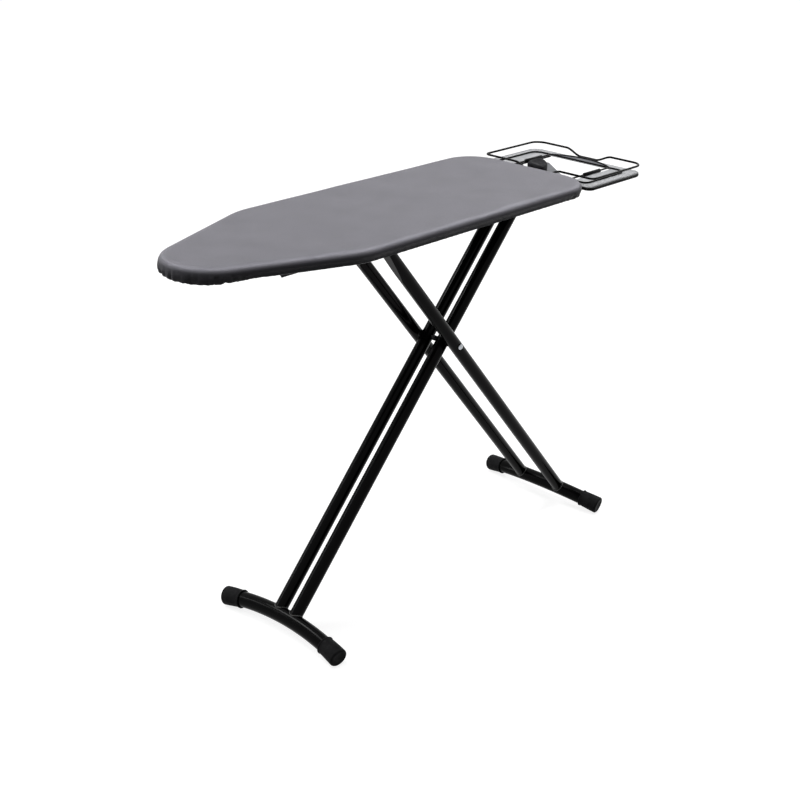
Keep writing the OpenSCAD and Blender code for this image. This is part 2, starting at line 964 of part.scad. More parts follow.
// Mesh tray on the frame, open in the middle
module rest_tray() {
    h = rest_w / 2;
    open_w = cross_w + sleeve_d + 3;
    r = 28;
    outer = concat(
        arc(rest_out - r, h - r, r, 0, 90, 6), arc(rest_in + 12, h - 12, 12, 90, 180, 4),
        arc(rest_in + 12, 12 - h, 12, 180, 270, 4), arc(rest_out - r, r - h, r, 270, 360, 6)
    );
    color([0.6, 0.6, 0.62])
        on_top()
            translate([0, 0, tray_z])
                difference() {
                    linear_extrude(tray_t)
                        polygon(outer);
                    translate([ring_in + 18, -open_w / 2, -1])
                        cube([ring_out - ring_in - 18, open_w, tray_t + 2]);
                }
}

// Ring of wire on the tray, with two cross wires and a bow towards the outer side
module rest_inner_wires() {
    bow_a = asin(cross_w / 2 / bow_r);
    color(steel_black)
        on_top()
            union() {
                bar_loop(ring_in, ring_out, ring_w, wire_z, 14, 24, wire_d);
                for (y = [-cross_w / 2, cross_w / 2])
                    bar([ring_in, y, wire_z], [ring_out, y, wire_z], wire_d);
                translate([ring_out + bow_rise - bow_r, 0, wire_z])
                    rotate([0, 0, -bow_a])
                        rotate_extrude(angle = 2 * bow_a, $fn = 120)
                            translate([bow_r, 0])
                                circle(d = wire_d, $fn = 32);
            }
}

// Plate between the ring and the bow
module rest_bow_plate() {
    inset = wire_d / 2 + gap;
    bow_a = asin(cross_w / 2 / bow_r);
    cx = ring_out + bow_rise - bow_r;
    edge = [for (p = arc(cx, 0, bow_r - inset, -bow_a, bow_a, 24)) if (p[0] > ring_out + inset) p];
    color([0.5, 0.5, 0.52])
        on_top()
            translate([0, 0, tray_z + tray_t + 0.1])
                linear_extrude(1.5)
                    polygon(edge);
}

// Silicone sleeves on the cross wires, on which the iron rests
module rest_sleeves() {
    x0 = ring_in + 58;
    color(rubber_black)
        on_top()
            for (side = [-1, 1])
                translate([x0, side * cross_w / 2, wire_z])
                    rotate([0, 90, 0])
                        difference() {
                            cylinder(d = sleeve_d, h = sleeve_len);
                            translate([0, 0, -1])
                                cylinder(d = wire_d + 0.1, h = sleeve_len + 2);
                        }
}

// Raised wire around the tray; it dips to the frame in the middle of both long sides
module guard_rail() {
    h = rest_w / 2 - 2;
    r_in = 10;
    r_out = 28;
    a = dip_w / 2;
    b = a + dip_run;
    color(steel_black)
        on_top()
            union() {
                bend(guard_out - r_out, h - r_out, guard_z, r_out, 0, guard_d);
                bend(guard_in + r_in, h - r_in, guard_z, r_in, 90, guard_d);
                bend(guard_in + r_in, r_in - h, guard_z, r_in, 180, guard_d);
                bend(guard_out - r_out, r_out - h, guard_z, r_out, 270, guard_d);
                for (y = [-h, h])
                    bar([guard_in + r_in, y, guard_z], [guard_out - r_out, y, guard_z], guard_d);
                dipped_side(guard_in, h - r_in, a, b);
                dipped_side(guard_out, h - r_out, a, b);
            }
}

// One long side of the guard rail with its dip
module dipped_side(x, end, a, b) {
    bar([x, -a, dip_z], [x, a, dip_z], guard_d);
    for (side = [-1, 1]) {
        bar([x, side * a, dip_z], [x, side * b, guard_z], guard_d);
        bar([x, side * b, guard_z], [x, side * end, guard_z], guard_d);
        translate([x, side * a, dip_z])
            sphere(d = guard_d + knuckle);
        translate([x, side * b, guard_z])
            sphere(d = guard_d + knuckle);
    }
}

// Block that joins the outer dip of the guard rail to the frame bar and lies on the tray
module guard_plate() {
    reach = dip_w / 2;
    low = tray_z + tray_t + 0.1;
    color(steel_black)
        on_top()
            difference() {
                union() {
                    translate([rest_out + 0.1, -reach, bar_z])
                        cube([guard_d, 2 * reach, dip_z - bar_z]);
                    translate([ring_out + bow_rise + wire_d / 2 + 0.2, -reach, low])
                        cube([rest_out - ring_out - bow_rise - wire_d / 2 + guard_d - 0.1, 2 * reach, guard_d - 1]);
                }
                translate([rest_out, 0, bar_z])
                    cross_rod(bar_d + 0.1, -top_w, top_w);
                translate([guard_out, 0, dip_z])
                    cross_rod(guard_d + 0.1, -top_w, top_w);
            }
}

// Straight rods under the frame, held under the deck
module rest_rods() {
    color(steel_black)
        on_top()
            for (side = [-1, 1])
                bar([rod_x0, side * rod_gap / 2, rod_z], [rest_out, side * rod_gap / 2, rod_z], bar_d);
}

// Straps that hold the rods under the rear and tail braces
module rest_clamps() {
    out = bar_d + 2 * strap_t;
    color(zinc)
        on_top()
            for (side = [-1, 1])
                for (x = [hinge_x, tail_brace_x])
                    translate([x - strap_w / 2, side * rod_gap / 2, 0])
                        difference() {
                            union() {
                                translate([0, -out / 2 - strap_wing, brace_low - gap - strap_t])
                                    cube([strap_w, out + 2 * strap_wing, strap_t]);
                                translate([0, -out / 2, rod_z])
                                    cube([strap_w, out, brace_low - gap - rod_z]);
                                translate([0, 0, rod_z])
                                    rotate([0, 90, 0])
                                        cylinder(d = out, h = strap_w);
                            }
                            translate([-1, 0, rod_z])
                                rotate([0, 90, 0])
                                    cylinder(r = bar_d / 2 + pin_fit, h = strap_w + 2);
                            translate([-1, -bar_d / 2 - pin_fit, rod_z])
                                cube([strap_w + 2, bar_d + 2 * pin_fit, brace_low - rod_z + 1]);
                        }
}

module clamp_screws() {
    offset_y = bar_d / 2 + strap_t + strap_wing / 2;
    screw_z = brace_low - gap - strap_t - rivet_h - 0.5;
    color(zinc)
        on_top()
            for (side = [-1, 1])
                for (x = [hinge_x, tail_brace_x])
                    for (wing = [-1, 1])
                        translate([x, side * rod_gap / 2 + wing * offset_y, screw_z])
                            cylinder(d = rivet_d, h = rivet_h + 0.5);
}

fabric_cover();
hem_elastic();
felt_underlay();
deck_sheet();
deck_rim();
brace_front();
brace_mid();
brace_centre();
brace_rear();
brace_tail();
slide_channel();
hinge_bracket_left();
hinge_bracket_right();
hinge_pin();
hinge_pin_nut();
hinge_spacer();
bracket_rivets();
shaft_bearings();
return_spring();
inner_tube_left();
inner_tube_right();
inner_foot();
inner_cap_left();
inner_cap_right();
inner_tube_plugs();
outer_tube_left();
outer_tube_right();
outer_foot();
outer_cap_left();
outer_cap_right();
slide_rod();
slide_bushes();
scissor_bolt();
scissor_nut();
centre_spacer();
side_spacers();
release_shaft();
height_comb();
release_lever();
lever_grip();
rest_frame();
rest_tray();
rest_inner_wires();
rest_bow_plate();
rest_sleeves();
guard_rail();
guard_plate();
rest_rods();
rest_clamps();
clamp_screws();
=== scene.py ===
# Folding ironing board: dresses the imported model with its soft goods, small forms and finishes.
import json
import math

import bmesh
import bpy
import numpy as np
from mathutils import Matrix, Vector


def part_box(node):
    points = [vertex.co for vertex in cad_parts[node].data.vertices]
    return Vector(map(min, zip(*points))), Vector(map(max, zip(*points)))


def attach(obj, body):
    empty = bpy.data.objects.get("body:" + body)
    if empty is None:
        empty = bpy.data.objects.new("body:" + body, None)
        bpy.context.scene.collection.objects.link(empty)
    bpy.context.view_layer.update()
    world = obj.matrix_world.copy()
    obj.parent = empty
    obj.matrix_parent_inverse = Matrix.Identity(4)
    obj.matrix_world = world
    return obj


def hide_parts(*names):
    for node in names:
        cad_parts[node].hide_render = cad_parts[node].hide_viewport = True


bl_info = {
    "name": "Folding ironing board",
    "version": (1, 0, 0),
    "blender": (4, 5, 0),
    "location": "3D View > Sidebar > Ironing board",
    "description": "Padded cover, wire iron rest, rubber feet and finishes of a folding ironing board",
    "category": "Object",
}

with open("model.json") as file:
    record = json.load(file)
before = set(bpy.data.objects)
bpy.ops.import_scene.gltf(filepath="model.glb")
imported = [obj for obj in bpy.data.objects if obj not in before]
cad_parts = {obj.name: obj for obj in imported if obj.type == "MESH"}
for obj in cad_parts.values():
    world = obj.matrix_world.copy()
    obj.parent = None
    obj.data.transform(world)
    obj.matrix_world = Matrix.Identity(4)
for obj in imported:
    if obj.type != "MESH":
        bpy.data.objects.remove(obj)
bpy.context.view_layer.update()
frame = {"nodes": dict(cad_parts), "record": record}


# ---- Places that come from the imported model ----


def joint_place(name):
    """The point on a joint's axis at rest, in metres."""
    for joint in frame["record"]["behaviour"]["joints"]:
        if joint["name"] == name:
            return np.array(joint["pos_m"], float)
    raise RuntimeError("no joint called " + name)


COVER_LOW, COVER_HIGH = map(np.array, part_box("fabric_cover"))
PIVOT = joint_place("scissor")
HINGE = joint_place("fold")
ACROSS = (0.0, 1.0, 0.0)

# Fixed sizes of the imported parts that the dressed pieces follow, in metres.
SPINE_END = 0.17  # from the tail to the end of the top's middle line
FOOT_DROP = 0.7107  # from the pivot down a leg to the level of its foot's two ends
FOOT_HALF = 0.1695  # from the middle of a foot to its end
FOOT_SLOPE = math.radians(13.5)  # slope of a foot's arc at its ends
LEG_TUBE_R, FOOT_TUBE_R = 0.0145, 0.0175
PIN_R, NUT_BORE, SPACER_BORE, SLEEVE_BORE = 0.004, 0.00402, 0.00405, 0.00205
REST_OUTER_R, REST_INNER_R = 0.028, 0.012  # corners of the iron rest, away from the board and by it


# ---- Sizes and colours that a user would change ----


def length(name, default, low, high, text):
    return bpy.props.FloatProperty(
        name=name, default=default, min=low, max=high, subtype="DISTANCE", unit="LENGTH", description=text
    )


def colour(name, default, text):
    return bpy.props.StringProperty(name=name, default=default, description=text)


class CoverSizes(bpy.types.PropertyGroup):
    nose_radius: length("Nose radius", 0.0945, 0.06, 0.13, "Radius of the round nose")
    taper: bpy.props.FloatProperty(
        name="Taper", default=math.radians(20.1), min=0.2, max=0.45, subtype="ANGLE", unit="ROTATION",
        description="Angle of each tapered side to the length"
    )
    shoulder_radius: length("Shoulder radius", 0.18, 0.05, 0.25, "Radius where the taper starts")
    tail_radius: length("Tail radius", 0.085, 0.02, 0.1, "Radius of the two tail corners")
    edge_radius: length("Edge radius", 0.0125, 0.004, 0.02, "Radius of the padded upper edge")
    side_lean: length("Side lean", 0.004, 0.0, 0.01, "How far the side leans in down to the hem")
    hem_width: length("Hem width", 0.024, 0.01, 0.04, "How far the hem turns under")
    gather_depth: length("Gather depth", 0.0042, 0.0, 0.005, "Depth of the gathers over the elastic")
    cloth_reach: length("Cloth reach", 0.004, 0.0, 0.006, "Furthest that the simulation moves a point")
    fabric: colour("Fabric", "#646369", "Colour of the cover")
    felt: colour("Felt", "#cfc8b8", "Colour of the felt under the cover")


class FrameSizes(bpy.types.PropertyGroup):
    weld_width: length("Weld width", 0.0032, 0.001, 0.006, "Width of the weld bead round each leg tube")
    cap_lip: length("Cap lip", 0.0012, 0.0, 0.003, "Height of the raised lip at the mouth of a foot cap")
    enamel: colour("Enamel", "#040404", "Colour of the black enamel on the steel tubes")
    rubber: colour("Rubber", "#161617", "Colour of the foot caps")
    zinc: colour("Zinc", "#b9bcc0", "Colour of the plated bolts, pins and straps")


class RestSizes(bpy.types.PropertyGroup):
    mesh_pitch: length("Mesh pitch", 0.0036, 0.002, 0.01, "Distance between the strands of the mesh")
    mesh_strand: length("Mesh strand", 0.0013, 0.0004, 0.004, "Width of a strand of the tray's mesh")
    tray: colour("Tray", "#b4b5b8", "Colour of the mesh tray")
    plate: colour("Plate", "#55565a", "Colour of the plate by the outer side")


def sizes():
    return bpy.context.scene.board_cover, bpy.context.scene.board_frame, bpy.context.scene.board_rest


# ---- Materials ----


def linear(code):
    """An sRGB hex colour as linear RGBA."""
    value = np.array([int(code[i:i + 2], 16) / 255 for i in (1, 3, 5)])
    low = value / 12.92
    high = ((value + 0.055) / 1.055) ** 2.4
    return (*(float(c) for c in np.where(value <= 0.04045, low, high)), 1.0)


def add(tree, kind, settings=(), **links):
    """Adds one node, sets its properties and inputs, and links the sockets that are given. An input
    goes by its name or by its place: a number in settings, and i0, i1 or i2 in links."""
    item = tree.nodes.new(kind)
    for key, value in dict(settings).items():
        if isinstance(key, int) or key in item.inputs:
            item.inputs[key].default_value = value
        else:
            setattr(item, key, value)
    for key, socket in links.items():
        place = int(key[1]) if key in ("i0", "i1", "i2") else key
        tree.links.new(socket, item.inputs[place])
    return item


def surface(name, base, roughness, metallic=0.0, ior=1.5, **sockets):
    """A new material with a Principled shader, its constants on the shader's own sockets."""
    material = bpy.data.materials.new(name)
    material.use_nodes = True
    tree = material.node_tree
    shader = tree.nodes["Principled BSDF"]
    shader.inputs["Base Color"].default_value = linear(base)
    shader.inputs["Roughness"].default_value = roughness
    shader.inputs["Metallic"].default_value = metallic
    if not metallic:
        shader.inputs["IOR"].default_value = ior
    for key, value in sockets.items():
        shader.inputs[key.replace("_", " ")].default_value = value
    place = add(tree, "ShaderNodeTexCoord")
    return material, tree, shader, place.outputs["Object"]


def vary(tree, shader, place, base, other, size, detail=3.0, low=0.35, high=0.65):
    """Base colour that drifts between two tones in patches of about the given size in metres."""
    noise = add(tree, "ShaderNodeTexNoise", {"Scale": 1 / size, "Detail": detail}, Vector=place)
    ramp = add(tree, "ShaderNodeValToRGB", Fac=noise.outputs["Fac"])
    ramp.color_ramp.elements[0].position = low
    ramp.color_ramp.elements[1].position = high
    ramp.color_ramp.elements[0].color = linear(base)
    ramp.color_ramp.elements[1].color = linear(other)
    tree.links.new(ramp.outputs["Color"], shader.inputs["Base Color"])
    return ramp


def relief(tree, shader, height, depth):
    """Bump of a height socket, whose full height is depth metres."""
    bump = add(tree, "ShaderNodeBump", {"Strength": 1.0, "Distance": depth}, Height=height)
    tree.links.new(bump.outputs["Normal"], shader.inputs["Normal"])


def grain(tree, shader, place, size, depth, detail=2.0):
    """Bump of a noise whose grains are about size metres across."""
    noise = add(tree, "ShaderNodeTexNoise", {"Scale": 1 / size, "Detail": detail}, Vector=place)
    relief(tree, shader, noise.outputs["Fac"], depth)


def rough_range(tree, shader, place, size, low, high):
    """Roughness that drifts between two values in patches of about the given size."""
    noise = add(tree, "ShaderNodeTexNoise", {"Scale": 1 / size, "Detail": 2.0}, Vector=place)
    limits = {"From Min": 0.3, "From Max": 0.7, "To Min": low, "To Max": high}
    span = add(tree, "ShaderNodeMapRange", limits, Value=noise.outputs["Fac"])
    tree.links.new(span.outputs["Result"], shader.inputs["Roughness"])


def mottled(name, tones, roughness, patch, bumps, drift=None, detail=(3.0, 2.0), **sockets):
    """A new material whose colour drifts between two tones in patches, with a grain of a size and a
    depth. Where drift gives a size, a low and a high value, its roughness drifts between them too."""
    material, tree, shader, place = surface(name, tones[0], roughness, **sockets)
    vary(tree, shader, place, *tones, patch, detail[0])
    grain(tree, shader, place, *bumps, detail[1])
    if drift:
        rough_range(tree, shader, place, *drift)
    return material


def woven_cotton(tone):
    # Plain-woven cotton, matte, whose top and edge have an aluminised heat-proof coating with a soft
    # shine that ends on the side. Down the side the base colour is darkened as painted shade. A real
    # thread is 0.4 mm wide, and it is drawn at 1.1 mm so that it just shows. The dye drifts a little over
    # 60 mm.
    material, tree, shader, place = surface("Woven cotton, grey", tone, 0.42, ior=1.45)
    thread_mm, fibre, fleck, drift = 1.1, 1 / 900, 1 / 700, 1 / 16
    level = add(tree, "ShaderNodeSeparateXYZ", Vector=place).outputs["Z"]
    edge = float(COVER_HIGH[2])
    coated = add(tree, "ShaderNodeMapRange", {"From Min": edge - 0.011, "From Max": edge - 0.004,
                                              "To Min": 0.0, "To Max": 0.5}, Value=level)
    tree.links.new(coated.outputs["Result"], shader.inputs["Metallic"])
    shader.inputs["Specular IOR Level"].default_value = 0.08
    # painted shade: the base colour falls to 0.3 of its tone from 3 mm to 22 mm below the top, standing
    # in for the shade down the side
    shade = add(tree, "ShaderNodeMapRange", {"From Min": edge - 0.022, "From Max": edge - 0.003,
                                             "To Min": 0.3, "To Max": 1.0}, Value=level)
    uv = add(tree, "ShaderNodeUVMap", {"uv_map": "thread"})
    split = add(tree, "ShaderNodeSeparateXYZ", Vector=uv.outputs["UV"])
    waves = []
    for axis in ("X", "Y"):
        turn = add(tree, "ShaderNodeMath", {"operation": "MULTIPLY", 1: 2 * math.pi / thread_mm},
                   i0=split.outputs[axis])
        waves.append(add(tree, "ShaderNodeMath", {"operation": "SINE"}, i0=turn.outputs[0]).outputs[0])
    over = add(tree, "ShaderNodeMath", {"operation": "MULTIPLY"}, i0=waves[0], i1=waves[1])
    slub = add(tree, "ShaderNodeTexNoise", {"Scale": 1 / fibre, "Detail": 3.0}, Vector=place)
    height = add(tree, "ShaderNodeMath", {"operation": "MULTIPLY_ADD", 1: 0.35}, i0=over.outputs[0],
                 i2=slub.outputs["Fac"])
    relief(tree, shader, height.outputs[0], 0.00018)
    slow = add(tree, "ShaderNodeTexNoise", {"Scale": 1 / drift, "Detail": 4.0}, Vector=place)
    fast = add(tree, "ShaderNodeTexNoise", {"Scale": 1 / fleck, "Detail": 2.0}, Vector=place)
    mixed = add(tree, "ShaderNodeMath", {"operation": "MULTIPLY_ADD", 1: 0.7}, i0=fast.outputs["Fac"],
                i2=slow.outputs["Fac"])
    ramp = add(tree, "ShaderNodeValToRGB", Fac=mixed.outputs[0])
    base = np.array(linear(tone)[:3])
    ramp.color_ramp.elements[0].position = 0.55
    ramp.color_ramp.elements[1].position = 1.0
    ramp.color_ramp.elements[0].color = (*(base * 0.93), 1.0)
    ramp.color_ramp.elements[1].color = (*(base * 1.07), 1.0)
    # the painted shade down the side scales the base colour here
    tint = add(tree, "ShaderNodeVectorMath", {"operation": "SCALE"}, i0=ramp.outputs["Color"],
               Scale=shade.outputs["Result"])
    tree.links.new(tint.outputs["Vector"], shader.inputs["Base Color"])
    return material


def needled_felt(tone):
    # Needled wool felt: thick, soft and without any gloss, with tangled fibres 1 to 2 mm across.
    return mottled("Needled felt", (tone, "#b8b0a0"), 1.0, 0.004, (0.0015, 0.0006), detail=(5.0, 4.0),
                   ior=1.4, Sheen_Weight=0.3)


def braided_elastic():
    # Braided elastic cord: white polyester round rubber, matte. Its herringbone is a millimetre long, and
    # it is drawn at about 4 mm so that it just shows.
    material, tree, shader, place = surface("Braided elastic cord", "#d9d9d6", 0.8, ior=1.45)
    bands = {"Scale": 90.0, "Distortion": 1.0, "bands_direction": "DIAGONAL"}
    wave = add(tree, "ShaderNodeTexWave", bands, Vector=place)
    relief(tree, shader, wave.outputs["Fac"], 0.0003)
    vary(tree, shader, place, "#dededa", "#c4c4c0", 0.003)
    return material


def black_enamel(tone):
    # Stoved black enamel on steel tube: a deep, wet gloss with a slight orange peel 2 mm wide.
    return mottled("Stoved black enamel", (tone, "#070708"), 0.14, 0.03, (0.002, 0.000006),
                   (0.02, 0.12, 0.2), ior=1.45, Specular_IOR_Level=0.05)


def moulded_rubber(tone):
    # Moulded black rubber: matte, with paler scuffed patches and a spark-eroded grain of 0.3 mm, drawn at
    # 0.6 mm so that it just shows.
    return mottled("Moulded black rubber", (tone, "#1d1d1e"), 0.62, 0.012, (0.0006, 0.00004),
                   (0.01, 0.52, 0.74), (4.0, 3.0), ior=1.52, Specular_IOR_Level=0.04)


def plated_zinc(name, tone, low=0.26, high=0.42):
    # Bright zinc plating on steel: a soft metal gloss, slightly blotchy from the bath.
    return mottled(name, (tone, "#9fa3a8"), 0.32, 0.006, (0.0008, 0.00001), (0.004, low, high),
                   (4.0, 2.0), metallic=1.0)


def powder_coat(name, tone, other, roughness=0.45):
    # Powder coat on sheet steel: even satin colour with an orange peel 1 mm wide.
    return mottled(name, (tone, other), roughness, 0.02, (0.001, 0.00002),
                   (0.012, roughness - 0.07, roughness + 0.08), ior=1.5, Specular_IOR_Level=0.1)


def moulded_plastic(name, tone, other, roughness=0.5):
    # Injection-moulded plastic: satin, with a fine grain of 0.4 mm and a faint flow pattern.
    return mottled(name, (tone, other), roughness, 0.01, (0.0004, 0.00003),
                   (0.006, roughness - 0.08, roughness + 0.1), ior=1.53, Specular_IOR_Level=0.03)


def silicone():
    # Extruded black silicone sleeve: rubbery satin that picks up dust.
    return mottled("Extruded silicone", ("#0d0d0e", "#151516"), 0.48, 0.004, (0.0005, 0.00002), ior=1.41,
                   Specular_IOR_Level=0.05)


def finish_nodes(material, *names):
    """Gives CAD nodes a material by their object's own slots."""
    for name in names:
        item = frame["nodes"][name]
        if not item.material_slots:
            item.data.materials.append(material)
        for place in item.material_slots:
            place.material = material


# ---- Surfaces ----


def put(name, points, faces, material=None, uv=None, smooth=True):
    """Puts arrays of points and quads into a new object at the origin."""
    mesh = bpy.data.meshes.new(name)
    faces = np.asarray(faces, np.int32).reshape(-1, 4)
    points = np.asarray(points, np.float32).reshape(-1, 3)
    mesh.vertices.add(len(points))
    mesh.vertices.foreach_set("co", points.ravel())
    mesh.loops.add(faces.size)
    mesh.loops.foreach_set("vertex_index", faces.ravel())
    mesh.polygons.add(len(faces))
    mesh.polygons.foreach_set("loop_start", np.arange(0, faces.size, 4, dtype=np.int32))
    mesh.polygons.foreach_set("use_smooth", np.full(len(faces), smooth))
    if uv is not None:
        layer = mesh.uv_layers.new(name="thread")
        layer.data.foreach_set("uv", np.asarray(uv, np.float32)[faces.ravel()].ravel())
    mesh.update(calc_edges=True)
    mesh.validate()
    item = bpy.data.objects.new(name, mesh)
    bpy.context.collection.objects.link(item)
    if material:
        mesh.materials.append(material)
    return item


def piece(name, shape, material, smooth=True, distance=1e-6):
    """Puts a shape, its points and quads, into a new object, and closes it where it meets itself."""
    item = put(name, *shape, material, smooth=smooth)
    weld_doubles(item, distance)
    return item


def grid_faces(rows, columns, round_rows=False, round_columns=False):
    """Quads of a grid of points, closed on itself in either direction if asked."""
    r = np.arange(rows if round_rows else rows - 1)
    c = np.arange(columns if round_columns else columns - 1)
    r, c = np.meshgrid(r, c, indexing="ij")
    r2, c2 = (r + 1) % rows, (c + 1) % columns
    corners = [r * columns + c, r * columns + c2, r2 * columns + c2, r2 * columns + c]
    return np.stack(corners, -1).reshape(-1, 4)


def unit(v):
    """Vectors divided by their lengths."""
    return v / np.maximum(np.linalg.norm(v, axis=-1, keepdims=True), 1e-12)


def smooth_step(t):
    """Three times the square less twice the cube: from 0 to 1, level at both ends."""
    t = np.clip(t, 0, 1)
    return t * t * (3 - 2 * t)


def at_level(xy, z):
    """Plan points with a level added to each, or one level for all."""
    return np.concatenate([xy, np.broadcast_to(np.asarray(z)[..., None], xy.shape[:-1] + (1,))], -1)


def tube_surface(path, radius, sides=16, closed=False, up=(0.0, 0.0, 1.0)):
    """A circle of a radius carried along a path of points, one ring to each point. The ring stands
    square to the path's tangent, and its first axis lies along up made square to the tangent. An
    open tube gets two flat-domed ends, by rings that shrink to the axis."""
    path = np.asarray(path, float)
    radius = np.broadcast_to(np.asarray(radius, float), (len(path),)).copy()
    if closed:
        tangent = unit(np.roll(path, -1, 0) - np.roll(path, 1, 0))
    else:
        tangent = unit(np.gradient(path, axis=0))
        cap, dome = np.array([0.0, 0.55, 0.9]), 0.25
        first = path[0] - tangent[0] * radius[0] * dome * (1 - cap[:, None])
        last = path[-1] + tangent[-1] * radius[-1] * dome * (1 - cap[::-1, None])
        path = np.concatenate([first, path, last])
        tangent = np.concatenate([np.repeat(tangent[:1], 3, 0), tangent, np.repeat(tangent[-1:], 3, 0)])
        radius = np.concatenate([radius[0] * cap, radius, radius[-1] * cap[::-1]])
    side = unit(np.cross(tangent, np.broadcast_to(np.asarray(up, float), tangent.shape)))
    lift = np.cross(side, tangent)
    turn = np.linspace(0, 2 * np.pi, sides, endpoint=False)[None, :, None]
    ring = np.cos(turn) * side[:, None] + np.sin(turn) * lift[:, None]
    points = path[:, None] + radius[:, None, None] * ring
    faces = grid_faces(len(path), sides, closed, True)
    return points.reshape(-1, 3), faces[:, ::-1]


def turned_surface(centre, axis, along, radii, sides, ring_closed=False):
    """A profile of distances along an axis and radii, turned round that axis. A closed profile makes
    a ring with a hole through it."""
    axis = unit(np.asarray(axis, float))
    side = unit(np.cross(axis, [0.0, 0.0, 1.0]))
    lift = np.cross(side, axis)
    turn = np.linspace(0, 2 * np.pi, sides, endpoint=False)
    ring = np.cos(turn)[:, None] * side + np.sin(turn)[:, None] * lift
    along, radii = np.asarray(along, float), np.asarray(radii, float)
    radii = radii if radii.ndim == 2 else np.repeat(radii[:, None], sides, 1)
    points = np.asarray(centre, float) + along[:, None, None] * axis + radii[:, :, None] * ring[None]
    return points.reshape(-1, 3), grid_faces(len(along), sides, ring_closed, True)[:, ::-1]


def joined(parts):
    """Several surfaces as one set of points and quads."""
    points, faces, start = [], [], 0
    for p, f in parts:
        points.append(p)
        faces.append(f + start)
        start += len(p)
    return np.concatenate(points), np.concatenate(faces)


def weld_doubles(item, distance=1e-6):
    """Merges the points where a surface meets itself, and turns its faces outwards."""
    work = bmesh.new()
    work.from_mesh(item.data)
    bmesh.ops.remove_doubles(work, verts=work.verts, dist=distance)
    bmesh.ops.recalc_face_normals(work, faces=work.faces)
    work.to_mesh(item.data)
    work.free()
    item.data.update()


# ---- Outline of the top ----


def arc_points(cx, cy, r, start, end, spacing):
    """Points and outward directions of an arc, about spacing apart."""
    count = max(int(abs(end - start) * r / spacing), 4)
    a = np.linspace(start, end, count, endpoint=False)
    normal = np.stack([np.cos(a), np.sin(a)], -1)
    return np.array([cx, cy]) + r * normal, normal


def line_points(p, q, spacing):
    """Points of a straight side, with the direction to its right hand."""
    p, q = np.array(p), np.array(q)
    count = max(int(np.linalg.norm(q - p) / spacing), 2)
    t = np.linspace(0, 1, count, endpoint=False)[:, None]
    along = unit(q - p)
    return p + (q - p) * t, np.repeat([[along[1], -along[0]]], count, 0)


def board_outline(cover, spacing):
    """Points and outward directions all round the top, from the nose along -Y to the tail and back.
    Each half is an arc of the nose, a tapered side, an arc of the shoulder, a straight side, an arc of
    the tail corner and half of the tail, and the other half mirrors it."""
    tail, nose, half = COVER_HIGH[0], COVER_LOW[0], COVER_HIGH[1]
    r, taper, rs, rt = cover.nose_radius, cover.taper, cover.shoulder_radius, cover.tail_radius
    nx = nose + r
    sx = nx + (math.cos(taper) * half - r) / math.sin(taper)
    scx = sx + rs * math.tan(taper / 2)
    a = 1.5 * math.pi - taper
    end = np.array([nx + r * math.cos(a), r * math.sin(a)])
    begin = np.array([scx + rs * math.cos(a), rs - half + rs * math.sin(a)])
    parts = [
        arc_points(nx, 0, r, math.pi, a, spacing),
        line_points(end, begin, spacing),
        arc_points(scx, rs - half, rs, a, 1.5 * math.pi, spacing),
        line_points([scx, -half], [tail - rt, -half], spacing),
        arc_points(tail - rt, rt - half, rt, 1.5 * math.pi, 2 * math.pi, spacing / 2),
        line_points([tail, rt - half], [tail, 0], spacing),
    ]
    p = np.concatenate([part[0] for part in parts])
    n = np.concatenate([part[1] for part in parts])
    flip = np.array([1.0, -1.0])
    p = np.concatenate([p, [[tail, 0.0]], p[:0:-1] * flip])
    n = np.concatenate([n, [[1.0, 0.0]], n[:0:-1] * flip])
    return p, n


def loop_distance(p):
    """Distance travelled round a closed outline to each of its points."""
    step = np.linalg.norm(np.roll(p, -1, 0) - p, axis=1)
    return np.concatenate([[0.0], np.cumsum(step)[:-1]]), step.sum()


def uneven_wave(s, total, wavelength, seed):
    """A smooth closed wave of about the given wavelength, whose crests are uneven in place and height:
    a sine whose phase and height drift with slower sines, all a whole number of turns round the loop."""
    rng = np.random.default_rng(seed)
    a = 2 * np.pi * s / total
    turns = round(total / wavelength)
    phase = sum(rng.uniform(0.3, 1.1) * np.sin(k * a + rng.uniform(0, 6.28)) for k in (3, 5, 9, 14, 23))
    height = 0.62 + 0.38 * sum(np.sin(k * a + rng.uniform(0, 6.28)) for k in (4, 11, 19)) / 3
    return height * np.sin(turns * a + 1.6 * phase)


def middle_line(cover, p):
    """The point of the top's middle line to which each point of the outline shrinks."""
    x = np.clip(p[:, 0], COVER_LOW[0] + cover.nose_radius, COVER_HIGH[0] - SPINE_END)
    return np.stack([x, np.zeros_like(x)], -1)


# ---- Cover ----

EDGE_WIDTH = 1.5  # width of the padded upper edge, against its height
OUTLINE_STEP = 0.0046  # distance between the points of the cover's outline
BEND_STEPS, BEND_SPAN = 3, 0.0138  # points over which a bend is measured, and their distance
HEM_R, NOSE_HEM_CUT = 0.0085, 0.0025  # radius where the side turns under, and how much less at the nose
CLOTH_THICKNESS = 0.0014  # drawn thickness of the cover's cloth and its lining
FLAT_RINGS = 30  # rings of the flat top, out to the start of its edge
HELD_RINGS = 10  # upper rings of the simulated band that stay where they are
CLOTH_FRAMES = 20
LEAST_PULL = 0.22  # share of the gathers on the straight sides, against the tight bends


